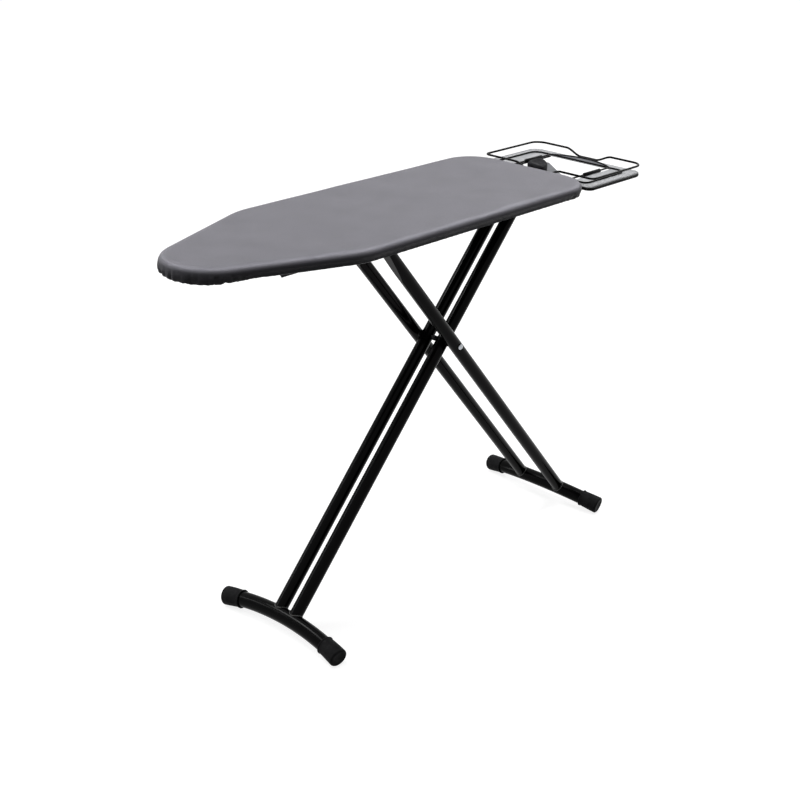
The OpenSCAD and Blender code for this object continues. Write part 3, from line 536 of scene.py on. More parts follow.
class BOARD_OT_cover(bpy.types.Operator):
    """Fits the woven cover over the pad, with its gathered hem"""
    bl_idname = "board.cover"
    bl_label = "Cover"

    def execute(self, context):
        """The cover is one surface of two parameters: the place round the outline, and the way from the
        middle line of the top out to the edge, down the side and under to the hem. Flat rings shrink
        from the outline to the middle line. The edge is a quarter ellipse, the side leans in towards
        the hem except at the nose, and the hem turns under, pushed in and out by the gathers. A cloth
        simulation then draws the band of the side and hem tight."""
        cover = sizes()[0]
        p, n = board_outline(cover, OUTLINE_STEP)
        s, total = loop_distance(p)
        top, low, nose = float(COVER_HIGH[2]), float(COVER_LOW[2]), COVER_LOW[0]
        at_nose = smooth_step((nose + 1.3 * cover.nose_radius - p[:, 0]) / (1.1 * cover.nose_radius))
        slack = bend_slack(n)
        r, foot_r = cover.edge_radius, HEM_R - NOSE_HEM_CUT * at_nose
        lean = cover.side_lean * (1 - at_nose)
        share = np.linspace(0, 1, FLAT_RINGS)[:, None, None] ** 0.9
        flat = middle_line(cover, p) * (1 - share) + (p - n * r * EDGE_WIDTH) * share
        inset, level = side_profile(r, foot_r, lean, cover.hem_width, top, low)
        down = np.clip((top - r - level) / (top - r - low), 0, 1) ** 1.3
        under = np.clip((inset - lean - foot_r) / (cover.hem_width - foot_r - lean), 0, 1)
        under = under * (level < low + 2 * foot_r)
        pull = LEAST_PULL + (1 - LEAST_PULL) * slack
        push, lift = gathers(s, total, pull, down, under, cover.gather_depth)
        side = p - n * (inset + push)[..., None]
        points = np.concatenate([at_level(flat, top), at_level(side, level + lift)])
        points[..., 2] += top_waves(points, top)
        threads = thread_map(points, s, inset, level)
        band = slice(FLAT_RINGS - 4, len(points))
        points[band] = drawn_tight(points[band], slack, cover.cloth_reach)
        item = put("cover", points, grid_faces(len(points), len(p), False, True),
                   woven_cotton(cover.fabric), threads)
        weld_doubles(item)
        wall = item.modifiers.new("cloth thickness", "SOLIDIFY")
        wall.thickness = CLOTH_THICKNESS
        wall.offset = -1.0
        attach(item, "board")
        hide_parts("fabric_cover")
        area = measured_area(item)
        return {"FINISHED"}


def bend_slack(n):
    """The spare cloth at each point of the outline, from 0 on a straight side to 1 on a tight bend: the
    turn of the outward direction over a few points, divided by their distance and averaged over its
    neighbours, is carried through a smooth step."""
    near, least, span = 20, 1.5, 6.5
    bend = np.abs(np.cross(n, np.roll(n, -BEND_STEPS, 0))) / BEND_SPAN
    window = np.ones(2 * near + 1) / (2 * near + 1)
    bend = np.convolve(np.concatenate([bend[-near:], bend, bend[:near]]), window, "valid")
    return smooth_step((bend - least) / span)


def gathers(s, total, pull, down, under, size):
    """How far the gathers push the side in and lift the hem: a coarse and a fine uneven wave round the
    outline, which grow down the side and in under the hem. They push out only a little."""
    coarse_length, fine_length, furthest_out = 0.019, 0.0095, 0.0012
    wave = uneven_wave(s, total, coarse_length, 3) * pull
    fine = uneven_wave(s, total, fine_length, 8) * pull
    push = size * (down * 0.75 * (wave + 0.45 * fine)[None] + under * 0.5 * fine[None])
    lift = size * under * (wave + 0.6 * fine)[None]
    return np.maximum(push, -furthest_out), np.abs(lift) * 0.9


def top_waves(points, top):
    """A padded top is never quite flat: it sinks a little, in the sum of three slow sine waves, and
    less so over the first millimetres of the edge."""
    crest, sunk, edge = 0.00028, 0.0009, 0.004
    x, y = points[..., 0], points[..., 1]
    waves = np.sin(23 * x + 9 * y) + np.sin(14 * x - 31 * y + 1.3) + np.sin(41 * x + 17 * y + 0.4)
    on_top = np.clip((points[..., 2] - top + edge) / edge, 0, 1)
    return (crest * waves - sunk) * on_top


def thread_map(points, s, inset, level):
    """Where the threads run, in millimetres: the place in plan on the top, and on the side the way round
    the outline and the way down the profile."""
    half_width, millimetres = 0.16, 1000
    down = half_width + np.cumsum(np.hypot(np.gradient(inset[:, 0]), np.gradient(level[:, 0])))
    across = np.concatenate([np.full(FLAT_RINGS, half_width), down])
    side = np.stack(np.broadcast_arrays(s[None] * millimetres, across[:, None] * millimetres), -1)
    on_top = np.arange(len(points)) < FLAT_RINGS + 4
    return np.where(on_top[:, None, None], points[..., :2] * millimetres, side).reshape(-1, 2)


def side_profile(r, foot_r, lean, hem, top, low):
    """Insets from the outline and levels of the rings from the top's edge down to the hem: a quarter
    ellipse, a straight side that leans in, a quarter circle at its foot and the flat hem. The radius
    of the foot and the lean are given for each point of the outline."""
    bulge, rise = 0.0006, 0.0012
    one = np.ones_like(foot_r)[None]
    foot = low + foot_r[None]
    a = np.linspace(0, np.pi / 2, 9)[1:, None]
    inset, level = [r * EDGE_WIDTH * (1 - np.sin(a)) * one], [(top - r * (1 - np.cos(a))) * one]
    t = np.linspace(0, 1, 9)[1:, None]
    inset.append(lean[None] * t ** 1.2 - bulge * np.sin(np.pi * t) * one)
    level.append((top - r) + (foot - top + r) * t)
    a = np.linspace(0, np.pi / 2, 7)[1:, None]
    inset.append(lean[None] + foot_r[None] * (1 - np.cos(a)))
    level.append(foot - foot_r[None] * np.sin(a))
    t = np.linspace(0, 1, 7)[1:, None]
    inset.append((lean + foot_r)[None] * (1 - t) + hem * t)
    level.append(low + rise * t ** 2 * one)
    return np.concatenate(inset), np.concatenate(level)


def drawn_tight(points, slack, reach):
    """A band of cloth simulated without gravity. Its upper rings and its last one are held, and its
    springs lengthen where it has slack, round the bends, so that the spare cloth buckles into creases
    between the two held edges. No point moves further than reach."""
    rows, columns = points.shape[:2]
    fade = 6
    band = put("band", points, grid_faces(rows, columns, False, True))
    order = np.arange(rows * columns).reshape(rows, columns)
    held, taut = (band.vertex_groups.new(name=name) for name in ("held", "taut"))
    for row in range(rows):
        weight = 1.0 if row == rows - 1 else float(smooth_step((HELD_RINGS + fade - row) / fade))
        held.add(order[row].tolist(), weight, "REPLACE")
    for column in range(columns):
        taut.add(order[:, column].tolist(), float(1 - slack[column]), "REPLACE")
    cloth = band.modifiers.new("cloth", "CLOTH")
    weave = dict(quality=5, mass=0.2, tension_stiffness=12, compression_stiffness=12, shear_stiffness=4,
                 bending_stiffness=0.08, air_damping=4, shrink_min=-0.1, vertex_group_shrink="taut",
                 vertex_group_mass="held")
    for key, value in weave.items():
        setattr(cloth.settings, key, value)
    cloth.settings.effector_weights.gravity = 0
    cloth.collision_settings.use_collision = False
    cloth.point_cache.frame_start, cloth.point_cache.frame_end = 1, CLOTH_FRAMES
    scene = bpy.context.scene
    for step in range(1, CLOTH_FRAMES + 1):
        scene.frame_set(step)
    shown = band.evaluated_get(bpy.context.evaluated_depsgraph_get()).to_mesh()
    moved = np.empty(rows * columns * 3, np.float32)
    shown.vertices.foreach_get("co", moved)
    move = moved.reshape(points.shape) - points
    far = np.linalg.norm(move, axis=-1, keepdims=True)
    bpy.data.objects.remove(band)
    scene.frame_set(1)
    return points + move * np.minimum(1.0, reach / np.maximum(far, 1e-9))


def measured_area(item):
    """The area of a mesh, in square metres, before its modifiers."""
    area = np.empty(len(item.data.polygons))
    item.data.polygons.foreach_get("area", area)
    return float(area.sum())


class BOARD_OT_underlay(bpy.types.Operator):
    """Lays the felt and draws the elastic through the hem"""
    bl_idname = "board.underlay"
    bl_label = "Felt and elastic"

    def execute(self, context):
        """The felt is the outline drawn in: a flat upper face, a half-round edge and a flat lower face.
        The elastic is a thin tube along the hem that wanders in and out with the gathers."""
        cover = sizes()[0]
        p, n = board_outline(cover, 0.008)
        low, high = map(np.array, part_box("felt_underlay"))
        gap = float(COVER_HIGH[1] - high[1])
        half, middle = (high[2] - low[2]) / 2, (high[2] + low[2]) / 2
        spine = middle_line(cover, p)
        share = np.linspace(0, 1, 10)[:, None, None]
        flat = spine + (p - n * (gap + half) - spine) * share
        edge = np.linspace(0, np.pi, 9)[1:-1, None]
        rim = p - n * (gap + half - half * np.sin(edge))[..., None]
        face = half * 0.96  # the pad is pressed a little thinner than its box
        points = np.concatenate([at_level(flat, middle + face),
                                 at_level(rim, middle + face * np.cos(edge)),
                                 at_level(flat, middle - face)[::-1]])
        shape = points, grid_faces(len(points), len(p), False, True)
        item = piece("felt_pad", shape, needled_felt(cover.felt))
        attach(item, "board")
        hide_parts("felt_underlay")
        low, high = map(np.array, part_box("hem_elastic"))
        p, n = board_outline(cover, 0.004)
        s, total = loop_distance(p)
        radius = float(high[2] - low[2]) / 2
        inset = float(COVER_HIGH[1] - high[1]) + radius
        wander = 0.0003 * uneven_wave(s, total, 0.021, 3)
        xy = p - n * (inset + wander[:, None])
        path = at_level(xy, low[2] + radius)
        cord = piece("hem_cord", tube_surface(path, radius * 0.95, 8, closed=True), braided_elastic())
        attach(cord, "board")
        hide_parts("hem_elastic")
        return {"FINISHED"}


# ---- Deck and underside ----


class BOARD_OT_underside(bpy.types.Operator):
    """Finishes the pressed deck, its braces, the slide channel and the hinge brackets"""
    bl_idname = "board.underside"
    bl_label = "Deck and underside"

    def execute(self, context):
        """The release spring is a helix round the shaft: a round wire carried along a screw line."""
        steel = sizes()[1]
        coat = powder_coat("Powder coat, dark grey", "#3a3b3d", "#444548", 0.5)
        enamel = powder_coat("Powder coat, black", "#141415", "#1c1c1e", 0.4)
        finish_nodes(coat, "deck_sheet", "deck_rim")
        finish_nodes(enamel, "brace_front", "brace_mid", "brace_centre", "brace_rear", "brace_tail",
                     "slide_channel", "hinge_bracket_left", "hinge_bracket_right")
        zinc = plated_zinc("Bright zinc plating", steel.zinc)
        finish_nodes(zinc, "bracket_rivets", "release_shaft", "height_comb", "rest_clamps",
                     "clamp_screws")
        nylon = moulded_plastic("Moulded nylon, natural", "#d8d6cd", "#cac7bc", 0.42)
        finish_nodes(nylon, "shaft_bearings", "slide_bushes", "hinge_spacer")
        low, high = map(np.array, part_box("return_spring"))
        wire_r, pitch, steps = 0.0008, 0.0022, 24
        coil_r = (high[1] - low[1]) / 2 - wire_r
        centre = (low + high) / 2
        reach = high[0] - low[0] - 2 * wire_r
        turns = int(reach / pitch)
        t = np.linspace(0, 1, turns * steps + 1)
        path = np.stack([low[0] + wire_r + reach * t,
                         centre[1] + coil_r * np.cos(2 * np.pi * turns * t),
                         centre[2] + coil_r * np.sin(2 * np.pi * turns * t)], -1)
        spring = piece("release_spring", tube_surface(path, wire_r, 8, up=(1, 0, 0)),
                       plated_zinc("Drawn spring steel", "#8e9094", 0.3, 0.45))
        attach(spring, "board")
        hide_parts("return_spring")
        return {"FINISHED"}


# ---- Legs ----


def leg_frame(body):
    """A leg's pivot point and its directions: up the leg, across it, and along the foot."""
    hinge = HINGE - PIVOT
    up = unit(np.array([hinge[0], 0.0, hinge[2]]))
    if body == "outer_leg":
        up = up * np.array([-1.0, 1.0, 1.0])
    return np.array([PIVOT[0], 0.0, PIVOT[2]]), up, np.cross(ACROSS, up)


def foot_line(body):
    """Middle and radius of the foot's arc. The foot is an arc in the plane of its leg, whose two ends
    stand at a given drop below the pivot, and it bulges up the leg."""
    pivot, up, _ = leg_frame(body)
    radius = FOOT_HALF / math.sin(FOOT_SLOPE)
    return pivot - up * (FOOT_DROP + radius * math.cos(FOOT_SLOPE)), radius


def foot_cap_surface(body, side, lip):
    """The cap's profile, a distance along the foot and a radius, is carried along the foot's arc and
    on past its end: a wall inside, a raised lip at the mouth, a straight wall with a slight taper, and
    an end with a rounded edge and a shallow dish."""
    centre, radius = foot_line(body)
    _, up, _ = leg_frame(body)
    bore, cap_r, edge, reach = 0.01755, 0.021, 0.004, 0.045
    neck = cap_r - lip
    a = np.linspace(0, np.pi / 2, 7)
    inside = [(0.0440, 0.0), (0.0440, 0.016), (0.0438, bore), (0.0020, bore), (0.0004, bore + 0.0002),
              (0.0, bore + 0.0008)]
    mouth = [(0.0, cap_r - 0.0016), (0.0003, cap_r - 0.0006), (0.0011, cap_r), (0.0024, cap_r - 0.0002)]
    wall = [(0.0034, neck), (0.0042, neck - 0.0002), (0.012, neck + 0.0001), (0.030, cap_r - 0.0003)]
    end = np.stack([reach + edge * np.sin(a), cap_r - edge + edge * np.cos(a)], -1)
    dish = [(0.0490, 0.0145), (0.0487, 0.0130), (0.0486, 0.006), (0.0486, 0.0)]
    s, r = np.concatenate([inside, mouth, wall, end, dish]).T
    angle = FOOT_SLOPE - (reach - np.minimum(s, reach)) / radius
    out = np.array([0.0, float(side), 0.0])
    radial = np.cos(angle)[:, None] * up + np.sin(angle)[:, None] * out
    tangent = -np.sin(angle)[:, None] * up + np.cos(angle)[:, None] * out
    middle = centre + radius * radial + np.maximum(s - reach, 0)[:, None] * tangent
    sides = 48
    turn = np.linspace(0, 2 * np.pi, sides, endpoint=False)[None, :, None]
    ring = np.cos(turn) * radial[:, None] + np.sin(turn) * np.cross(tangent, radial)[:, None]
    points = middle[:, None] + r[:, None, None] * ring
    return points.reshape(-1, 3), grid_faces(len(s), sides, False, True)


def weld_surface(body, offset, width):
    """The bead follows the line where the leg tube, a cylinder up the leg, meets the foot, a tube along
    an arc. Its thickness ripples every 2 mm and wanders a little."""
    centre, radius = foot_line(body)
    _, up, across = leg_frame(body)
    turn = np.linspace(0, 2 * np.pi, 160, endpoint=False)
    p, y = LEG_TUBE_R * np.cos(turn), offset + LEG_TUBE_R * np.sin(turn)
    h = np.sqrt((radius + np.sqrt(FOOT_TUBE_R ** 2 - p ** 2)) ** 2 - y ** 2)
    path = centre + h[:, None] * up + p[:, None] * across + y[:, None] * np.array(ACROSS)
    thick = width / 2 * (1 + 0.16 * np.sin(40 * turn) + 0.18 * np.sin(7 * turn + offset * 90))
    path = path + 0.0004 * np.sin(11 * turn + offset * 50)[:, None] * up
    return tube_surface(path, thick, 10, closed=True, up=up)


class BOARD_OT_legs(bpy.types.Operator):
    """Enamels the leg tubes and adds weld beads, rubber caps and plugs"""
    bl_idname = "board.legs"
    bl_label = "Legs and feet"

    def execute(self, context):
        """Each cap and bead is a profile carried along a line of its own leg."""
        steel = sizes()[1]
        enamel = black_enamel(steel.enamel)
        finish_nodes(enamel, "inner_tube_left", "inner_tube_right", "inner_foot", "outer_tube_left",
                     "outer_tube_right", "outer_foot")
        rubber = moulded_rubber(steel.rubber)
        plastic = moulded_plastic("Moulded polyethylene, black", "#18181a", "#232325", 0.5)
        finish_nodes(plastic, "inner_tube_plugs")
        bead = weld_bead(steel.enamel)
        # each body with the distance from the middle to the axis of its leg tubes
        for body, gap in (("inner_leg", 0.0225), ("outer_leg", 0.058)):
            short = body.split("_")[0]
            for side, hand in ((-1, "right"), (1, "left")):
                shape = foot_cap_surface(body, side, steel.cap_lip)
                cap = piece(short + "_foot_cap_" + hand, shape, rubber)
                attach(cap, body)
                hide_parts(short + "_cap_" + hand)
                shape = weld_surface(body, side * gap, steel.weld_width)
                weld = piece(short + "_weld_" + hand, shape, bead)
                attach(weld, body)
        return {"FINISHED"}


def weld_bead(tone):
    # Weld bead under black enamel: ripples of the weld pool every 2 mm, and a few pale specks painted on
    # as glints, painted highlights.
    material, tree, shader, place = surface("Enamelled weld bead", tone, 0.3, ior=1.45)
    # painted highlight: the pale tone #8b8078 on a few specks stands in for glints on the bead
    ramp = vary(tree, shader, place, tone, "#8b8078", 0.004, 3.0, 0.62, 0.7)
    ramp.color_ramp.interpolation = "EASE"
    grain(tree, shader, place, 0.0016, 0.0003, 2.0)
    return material


# ---- Fastenings ----


def hex_radius(flat, sides):
    """Distance from the middle of a hexagon to its edge, for directions all round it."""
    turn = np.linspace(0, 2 * np.pi, sides, endpoint=False)
    return flat / np.cos((turn % (np.pi / 3)) - np.pi / 6)


def hex_nut(centre, axis, half, outer, bore):
    """A hexagon whose corners are cut by a cone at both ends, with a bored and countersunk hole."""
    sides, sink, bevel = 48, 0.0006, 0.0007
    flat = outer * math.cos(math.pi / 6)
    edge = hex_radius(flat, sides)
    face = np.minimum(edge, flat * 0.97)
    along = np.array([half - sink, -half + sink, -half, -half, -half, -half + bevel, half - bevel, half,
                      half, half])
    rows = [bore, bore, bore + sink, flat * 0.9, face, edge, edge, face, flat * 0.9, bore + sink]
    radii = np.array([np.broadcast_to(row, edge.shape) for row in rows])
    return turned_surface(centre, axis, along, radii, sides, ring_closed=True)


def domed_bolt(centre, axis, half, head, height):
    """A pan head on one end of a round shank: the head's edge is straight for a third of its height and
    the rest is a quarter ellipse. The other end has a small chamfer."""
    chamfer = 0.0008
    a = np.linspace(np.pi / 2, 0, 9)
    along = np.concatenate([height * 0.7 * (1 - np.sin(a)) - half, [
        -half + height * 0.98, -half + height, -half + height, half - chamfer, half, half]])
    radii = np.concatenate([head * np.cos(a), [head, head - 0.0002, PIN_R, PIN_R, PIN_R - chamfer, 0.0]])
    return turned_surface(centre, axis, along, radii, 40)


def headed_rod(centre, axis, half, head, height):
    """A round rod with a low head on each end, whose edge is a quarter ellipse over four fifths of the
    head's height."""
    a = np.linspace(np.pi / 2, 0, 7)
    along = np.concatenate([height * 0.8 * (1 - np.sin(a)), [height, height]]) - half
    radii = np.concatenate([head * np.cos(a), [head, PIN_R]])
    return turned_surface(centre, axis, np.concatenate([along, -along[::-1]]),
                          np.concatenate([radii, radii[::-1]]), 40)


def spacer_tube(centre, axis, half, outer, bore):
    """A short tube with rounded outer edges."""
    r = 0.0006
    along = [half, half, half - r, -half + r, -half, -half]
    radii = [bore, outer - r, outer, outer, outer - r, bore]
    return turned_surface(centre, axis, along, radii, 40, ring_closed=True)


def middle_and_half(node):
    """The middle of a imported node's box and half its size."""
    low, high = map(np.array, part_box(node))
    return (low + high) / 2, (high - low) / 2


class BOARD_OT_fastenings(bpy.types.Operator):
    """Puts in the domed bolts, nuts, slide rod and spacers"""
    bl_idname = "board.fastenings"
    bl_label = "Bolts, nuts and spacers"

    def execute(self, context):
        """Each piece is a profile turned round the Y axis through its own pin."""
        zinc = plated_zinc("Bright zinc plating, fastenings", sizes()[1].zinc, 0.18, 0.34)

        def make(name, shape, node, body, material=zinc):
            item = piece(name, shape, material)
            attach(item, body)
            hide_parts(node)

        for name, node, nut, body in (("pivot_bolt", "scissor_bolt", "scissor_nut", "outer_leg"),
                                      ("hinge_bolt", "hinge_pin", "hinge_pin_nut", "board")):
            middle, half = middle_and_half(node)
            nut_middle, nut_half = middle_and_half(nut)
            bolt = domed_bolt(middle, ACROSS, half[1], half[0], 2 * nut_half[1])
            make(name, bolt, node, body)
            ring = hex_nut(nut_middle, ACROSS, nut_half[1], nut_half[0], NUT_BORE)
            make(name + "_nut", ring, nut, body)
        middle, half = middle_and_half("slide_rod")
        head = 0.003  # height of each head of the slide rod
        make("slide_rod_turned", headed_rod(middle, ACROSS, half[1], half[0], head), "slide_rod",
             "outer_leg")
        plastic = moulded_plastic("Moulded acetal, black", "#1a1a1b", "#29292b", 0.34)
        middle, half = middle_and_half("centre_spacer")
        make("middle_spacer", spacer_tube(middle, ACROSS, half[1], half[0], SPACER_BORE), "centre_spacer",
             "outer_leg", plastic)
        middle, half = middle_and_half("side_spacers")
        inner = 0.0371  # from the middle to the near end of each outer spacer
        shapes = [spacer_tube(middle + np.array([0, side * (inner + half[1]) / 2, 0]), ACROSS,
                              (half[1] - inner) / 2, half[0], SPACER_BORE) for side in (-1, 1)]
        make("outer_spacers", joined(shapes), "side_spacers", "outer_leg", plastic)
        return {"FINISHED"}


# ---- Iron rest ----


def rail_path():
    """Closed line of the guard rail: a rectangle with round corners, small ones by the board and large
    ones outside, whose two long sides dip in the middle by a smooth step."""
    low, high = map(np.array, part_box("guard_rail"))
    r, play, step = 0.0025, 0.00015, 0.0025
    x0, x1, h = low[0] + r, high[0] - r - play, high[1] - r
    top, dip = high[2] - r - play, low[2] + r + play
    small, large = REST_INNER_R, REST_OUTER_R
    flat_half, slope = 0.021, 0.044  # half the level part of a dip, and the length of each slope
    parts = [
        arc_points(x1 - large, h - large, large, 0, math.pi / 2, step)[0],
        line_points([x1 - large, h], [x0 + small, h], step)[0],
        arc_points(x0 + small, h - small, small, math.pi / 2, math.pi, step / 2)[0],
        line_points([x0, h - small], [x0, small - h], step)[0],
        arc_points(x0 + small, small - h, small, math.pi, 1.5 * math.pi, step / 2)[0],
        line_points([x0 + small, -h], [x1 - large, -h], step)[0],
        arc_points(x1 - large, large - h, large, 1.5 * math.pi, 2 * math.pi, step)[0],
        line_points([x1, large - h], [x1, h - large], step)[0],
    ]
    p = np.concatenate(parts)
    on_long = np.minimum(abs(p[:, 0] - x0), abs(p[:, 0] - x1)) < 1e-6
    rise = np.where(on_long, smooth_step((abs(p[:, 1]) - flat_half) / slope), 1.0)
    return at_level(p, dip + (top - dip) * rise), r


def mesh_tray(pitch, strand):
    """A square lattice: every cell inside the tray's outline and outside its opening is a frame of four
    strands round a square hole, with an upper face, a lower face and the walls of the hole, and a wall
    stands where the next cell is missing."""
    low, high = map(np.array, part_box("rest_tray"))
    nx, ny = round((high[0] - low[0]) / pitch), round((high[1] - low[1]) / pitch)
    px, py = (high[0] - low[0]) / nx, (high[1] - low[1]) / ny
    i, j = np.meshgrid(np.arange(nx), np.arange(ny), indexing="ij")
    cx, cy = low[0] + (i + 0.5) * px, low[1] + (j + 0.5) * py
    keep = np.ones(cx.shape, bool)
    for r, x, inside in ((REST_OUTER_R, high[0], 1), (REST_INNER_R, low[0], -1)):
        dx, dy = inside * (cx - (x - inside * r)), abs(cy) - (high[1] - r)
        keep &= ~((dx > 0) & (dy > 0) & (np.hypot(dx, dy) > r))
    # the opening: from past the inner wires to short of the plate, and a little wider than the sleeves
    wire_r, ledge, plate_gap, sleeve_gap = 0.002, 0.018, 0.0045, 0.0015
    x_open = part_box("rest_inner_wires")[0][0] + wire_r + ledge
    x_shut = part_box("rest_bow_plate")[0][0] - plate_gap
    keep &= ~((cx > x_open) & (cx < x_shut) & (abs(cy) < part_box("rest_sleeves")[1][1] + sleeve_gap))
    corner = np.array([[0, 0], [1, 0], [1, 1], [0, 1]])
    m = [strand / 2 / px, strand / 2 / py]
    inner = np.clip(corner.astype(float), m, [1 - m[0], 1 - m[1]])
    ii, jj = i[keep], j[keep]
    size = np.array([px, py])
    base = low[:2] + np.stack([ii, jj], -1) * size
    outer_xy = base[:, None] + corner * size
    inner_xy = base[:, None] + inner * size
    xy = np.concatenate([outer_xy, inner_xy], 1)
    cells = np.concatenate([at_level(xy, high[2]), at_level(xy, low[2])], 1)
    k = np.arange(4)
    n = (k + 1) % 4
    quads = np.concatenate([
        np.stack([k, n, 4 + n, 4 + k], -1),
        np.stack([8 + k, 12 + k, 12 + n, 8 + n], -1),
        np.stack([4 + k, 4 + n, 12 + n, 12 + k], -1)])
    start = np.arange(len(ii))[:, None, None] * 16
    faces = [(start + quads[None]).reshape(-1, 4)]
    grown = np.pad(keep, 1)
    for side, (di, dj) in enumerate(((0, -1), (1, 0), (0, 1), (-1, 0))):
        bare = ~grown[ii + 1 + di, jj + 1 + dj]
        a, b = side, (side + 1) % 4
        faces.append(start[bare, 0] + np.array([[b, a, 8 + a, 8 + b]]))
    return cells.reshape(-1, 3), np.concatenate(faces)


def grip_surface():
    """The grip is a rounded outline carried upwards: straight walls, a rounded upper edge, and a top
    that falls in a shallow hollow for the fingers. The outline is a polygon with its corners cut four
    times."""
    low, high = map(np.array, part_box("lever_grip"))
    size = high - low
    corners = np.array([[0.0, 0.03], [0.2, 0.0], [0.66, 0.22], [1.0, 0.66], [1.0, 0.92], [0.86, 1.0],
                        [0.5, 1.0], [0.18, 0.8]])
    ring = low[:2] + corners * size[:2]
    for _ in range(4):
        after = np.roll(ring, -1, 0)
        ring = np.stack([0.75 * ring + 0.25 * after, 0.25 * ring + 0.75 * after], 1).reshape(-1, 2)
    ring = low[:2] + (ring - ring.min(0)) / (ring.max(0) - ring.min(0)) * size[:2]
    middle = ring.mean(0)
    r, bevel, hollow = 0.006, 0.0008, 0.0022
    a = np.linspace(0, np.pi / 2, 7)[1:]
    inset = np.concatenate([[bevel, 0.0, 0.0], r * (1 - np.cos(a))])
    level = np.concatenate([[low[2], low[2] + bevel, high[2] - r], high[2] - r + r * np.sin(a)])
    tangent = unit(np.roll(ring, -1, 0) - np.roll(ring, 1, 0))
    out = np.stack([tangent[:, 1], -tangent[:, 0]], -1)
    if ((ring - middle) * out).sum() < 0:
        out = -out
    wall = ring - out * inset[:, None, None]
    share = np.linspace(0, 1, 9)[1:]
    top = wall[-1] * (1 - share[:, None, None]) + middle * share[:, None, None]
    xy = np.concatenate([np.broadcast_to(middle, (1,) + ring.shape), wall, top])
    z = np.concatenate([[low[2]], level, high[2] - hollow * smooth_step(share * 1.4)])
    points = at_level(xy, z[:, None])
    return points.reshape(-1, 3), grid_faces(len(points), len(ring), False, True)


class BOARD_OT_rest(bpy.types.Operator):
    """Builds the mesh tray and bent wires of the iron rest, and its lever"""
    bl_idname = "board.rest"
    bl_label = "Iron rest and lever"

    def execute(self, context):
        """The tray is a lattice, the rail a wire carried along its closed line, the sleeves short tubes,
        and the grip an outline carried upwards."""
        rest = sizes()[2]
        enamel = black_enamel(sizes()[1].enamel)
        # The guard plate's black enamel is partly the real plate and partly painted shade: the plate also
        # fills the shaded strip between the bow wire and the rail.
        finish_nodes(enamel, "rest_frame", "rest_inner_wires", "rest_rods", "guard_plate")
        finish_nodes(powder_coat("Powder coat, plate", rest.plate, "#4c4d51", 0.35), "rest_bow_plate")
        finish_nodes(powder_coat("Powder coat, lever", "#6f7073", "#66676a", 0.4), "release_lever")
        tray = piece("mesh_tray", mesh_tray(rest.mesh_pitch, rest.mesh_strand),
                     powder_coat("Epoxy-coated wire mesh", rest.tray, "#bfc0c2", 0.42), False, 2e-6)
        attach(tray, "board")
        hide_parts("rest_tray")
        path, r = rail_path()
        rail = piece("wire_guard", tube_surface(path, r, 18, closed=True), enamel)
        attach(rail, "board")
        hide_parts("guard_rail")
        middle, half = middle_and_half("rest_sleeves")
        radius = half[2]
        shapes = [spacer_tube([middle[0], side * (half[1] - radius), middle[2]], (1.0, 0.0, 0.0), half[0],
                              radius, SLEEVE_BORE) for side in (-1, 1)]
        sleeves = piece("silicone_sleeves", joined(shapes), silicone())
        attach(sleeves, "board")
        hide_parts("rest_sleeves")
        grip = piece("grip", grip_surface(),
                     moulded_plastic("Moulded polypropylene, black", "#0a0a0c", "#1a1a1d", 0.5))
        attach(grip, "release_lever")
        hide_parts("lever_grip")
        return {"FINISHED"}


# ---- Stage ----


def seen_through(tree):
    """A factor that is 1 where the camera, a reflection or a clear piece looks, and 0 for other light."""
    path = add(tree, "ShaderNodeLightPath")
    first = add(tree, "ShaderNodeMath", {"operation": "MAXIMUM"}, i0=path.outputs["Is Camera Ray"],
                i1=path.outputs["Is Glossy Ray"])
    return add(tree, "ShaderNodeMath", {"operation": "MAXIMUM"}, i0=first.outputs[0],
               i1=path.outputs["Is Transmission Ray"]).outputs[0]


def soft_box(name, centre, target, wide, high, power):
    """A rectangular lamp at a place, turned towards a target."""
    lamp = bpy.data.lights.new(name, "AREA")
    lamp.shape = "RECTANGLE"
    lamp.size, lamp.size_y, lamp.energy = wide, high, power
    item = bpy.data.objects.new(name, lamp)
    bpy.context.collection.objects.link(item)
    item.location = centre
    item.rotation_euler = (Vector(target) - Vector(centre)).to_track_quat("-Z", "Y").to_euler()


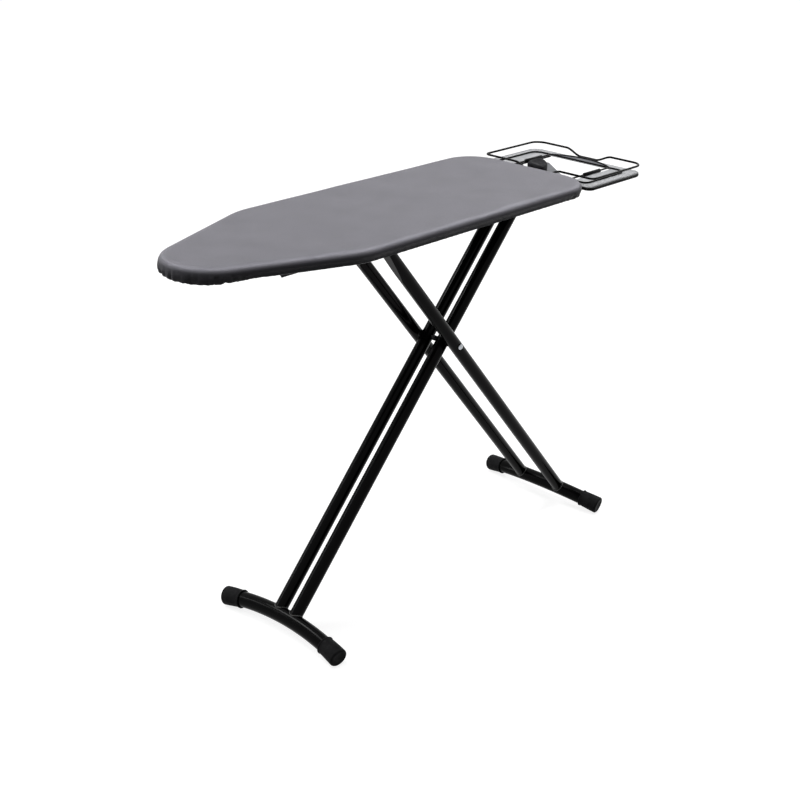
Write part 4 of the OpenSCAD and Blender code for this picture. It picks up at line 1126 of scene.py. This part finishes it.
class BOARD_OT_stage(bpy.types.Operator):
    """Sets the floor, the soft boxes, the pale surroundings and the camera"""
    bl_idname = "board.stage"
    bl_label = "Stage"

    def execute(self, context):
        """The floor is one flat square. The camera stands in front of the nose, to the right."""
        scene = context.scene
        reach, under = 30, -0.0002  # half the floor's width, and its level just under the feet
        corners = [[x * reach, y * reach, under] for x, y in ((-1, -1), (1, -1), (1, 1), (-1, 1))]
        floor = put("floor", corners, [[0, 1, 2, 3]], pale_floor(), smooth=False)
        world = bpy.data.worlds.new("Pale surroundings")
        scene.world = world
        world.use_nodes = True
        tree = world.node_tree
        tree.nodes.clear()
        plain = add(tree, "ShaderNodeBackground", {"Color": (1, 1, 1, 1), "Strength": 1.0})
        dim = add(tree, "ShaderNodeBackground", {"Color": (0.98, 0.99, 1, 1), "Strength": 0.09})
        seen = seen_through(tree)
        mix = add(tree, "ShaderNodeMixShader", i0=seen, i1=dim.outputs[0], i2=plain.outputs[0])
        add(tree, "ShaderNodeOutputWorld", Surface=mix.outputs[0])
        sun = bpy.data.lights.new("Wide top light", "SUN")
        sun.energy, sun.angle = 1.4, math.radians(50)
        above = bpy.data.objects.new("Wide top light", sun)
        bpy.context.collection.objects.link(above)
        above.rotation_euler = (math.radians(-6), math.radians(-14), 0)
        soft_box("Tall strip, left", (-1.9, 2.4, 1.2), (0.1, 0.0, 0.5), 0.3, 2.4, 24)
        soft_box("High box, behind the tail", (3.7, 0.15, 3.8), (0.0, 0.0, 0.85), 1.7, 1.7, 75)
        soft_box("High box, over the tail", (0.75, 0.0, 3.1), (-0.35, 0.0, 0.85), 1.0, 1.0, 30)
        soft_box("Small box, beside the nose", (-0.6, 1.5, 2.3), (-0.6, 0.0, 0.85), 0.6, 0.6, 20)
        camera = bpy.data.cameras.new("Camera")
        camera.sensor_width = 36
        camera.lens = 61.604
        item = bpy.data.objects.new("Camera", camera)
        bpy.context.collection.objects.link(item)
        eye = (-2.08931, -1.80349, 1.65286)
        turn, pitch, roll = (math.radians(v) for v in (-48.979, 23.878, 2.097))
        back = np.array([math.sin(turn) * math.cos(pitch), -math.cos(turn) * math.cos(pitch),
                         math.sin(pitch)])
        right = unit(np.cross(-back, [0.0, 0.0, 1.0]))
        up = np.cross(right, -back)
        across = math.cos(roll) * right + math.sin(roll) * up
        up = math.cos(roll) * up - math.sin(roll) * right
        stand = np.vstack([np.column_stack([across, up, back, eye]), [0, 0, 0, 1]])
        item.matrix_world = Matrix(stand.tolist())
        scene.camera = item
        scene.view_settings.view_transform = "Standard"
        return {"FINISHED"}


def pale_floor():
    # Matt painted studio floor: to the camera it glows just enough to end white, and it keeps shadows.
    material = bpy.data.materials.new("Matt painted floor")
    material.use_nodes = True
    tree = material.node_tree
    tree.nodes.clear()
    shown = add(tree, "ShaderNodeBsdfDiffuse", {"Color": (0.34, 0.34, 0.34, 1)})
    glow = add(tree, "ShaderNodeEmission", {"Color": (1, 1, 1, 1), "Strength": 0.84})
    both = add(tree, "ShaderNodeAddShader", i0=shown.outputs[0], i1=glow.outputs[0])
    dull = add(tree, "ShaderNodeBsdfDiffuse", {"Color": (0.05, 0.05, 0.05, 1)})
    mix = add(tree, "ShaderNodeMixShader", i0=seen_through(tree), i1=dull.outputs[0], i2=both.outputs[0])
    add(tree, "ShaderNodeOutputMaterial", Surface=mix.outputs[0])
    return material


# ---- Panel and order of work ----


class BOARD_PT_panel(bpy.types.Panel):
    """Sizes, colours and pieces of the ironing board"""
    bl_idname = "BOARD_PT_panel"
    bl_label = "Ironing board"
    bl_space_type = "VIEW_3D"
    bl_region_type = "UI"
    bl_category = "Ironing board"

    def draw(self, context):
        scene = context.scene
        for title, group in (("Cover", scene.board_cover), ("Frame", scene.board_frame),
                             ("Iron rest", scene.board_rest)):
            box = self.layout.box()
            box.label(text=title)
            for name in group.__annotations__:
                box.prop(group, name)
        for operator in OPERATORS:
            self.layout.operator(operator.bl_idname)


OPERATORS = (BOARD_OT_stage, BOARD_OT_cover, BOARD_OT_underlay, BOARD_OT_underside, BOARD_OT_legs,
             BOARD_OT_fastenings, BOARD_OT_rest)
CLASSES = (CoverSizes, FrameSizes, RestSizes, *OPERATORS, BOARD_PT_panel)


def register():
    for item in CLASSES:
        bpy.utils.register_class(item)
    bpy.types.Scene.board_cover = bpy.props.PointerProperty(type=CoverSizes)
    bpy.types.Scene.board_frame = bpy.props.PointerProperty(type=FrameSizes)
    bpy.types.Scene.board_rest = bpy.props.PointerProperty(type=RestSizes)


def unregister():
    for name in ("board_cover", "board_frame", "board_rest"):
        delattr(bpy.types.Scene, name)
    for item in reversed(CLASSES):
        bpy.utils.unregister_class(item)


def main():
    register()
    bpy.ops.board.stage()
    bpy.ops.board.cover()
    bpy.ops.board.underlay()
    bpy.ops.board.underside()
    bpy.ops.board.legs()
    bpy.ops.board.fastenings()
    bpy.ops.board.rest()


if __name__ == "__main__":
    main()
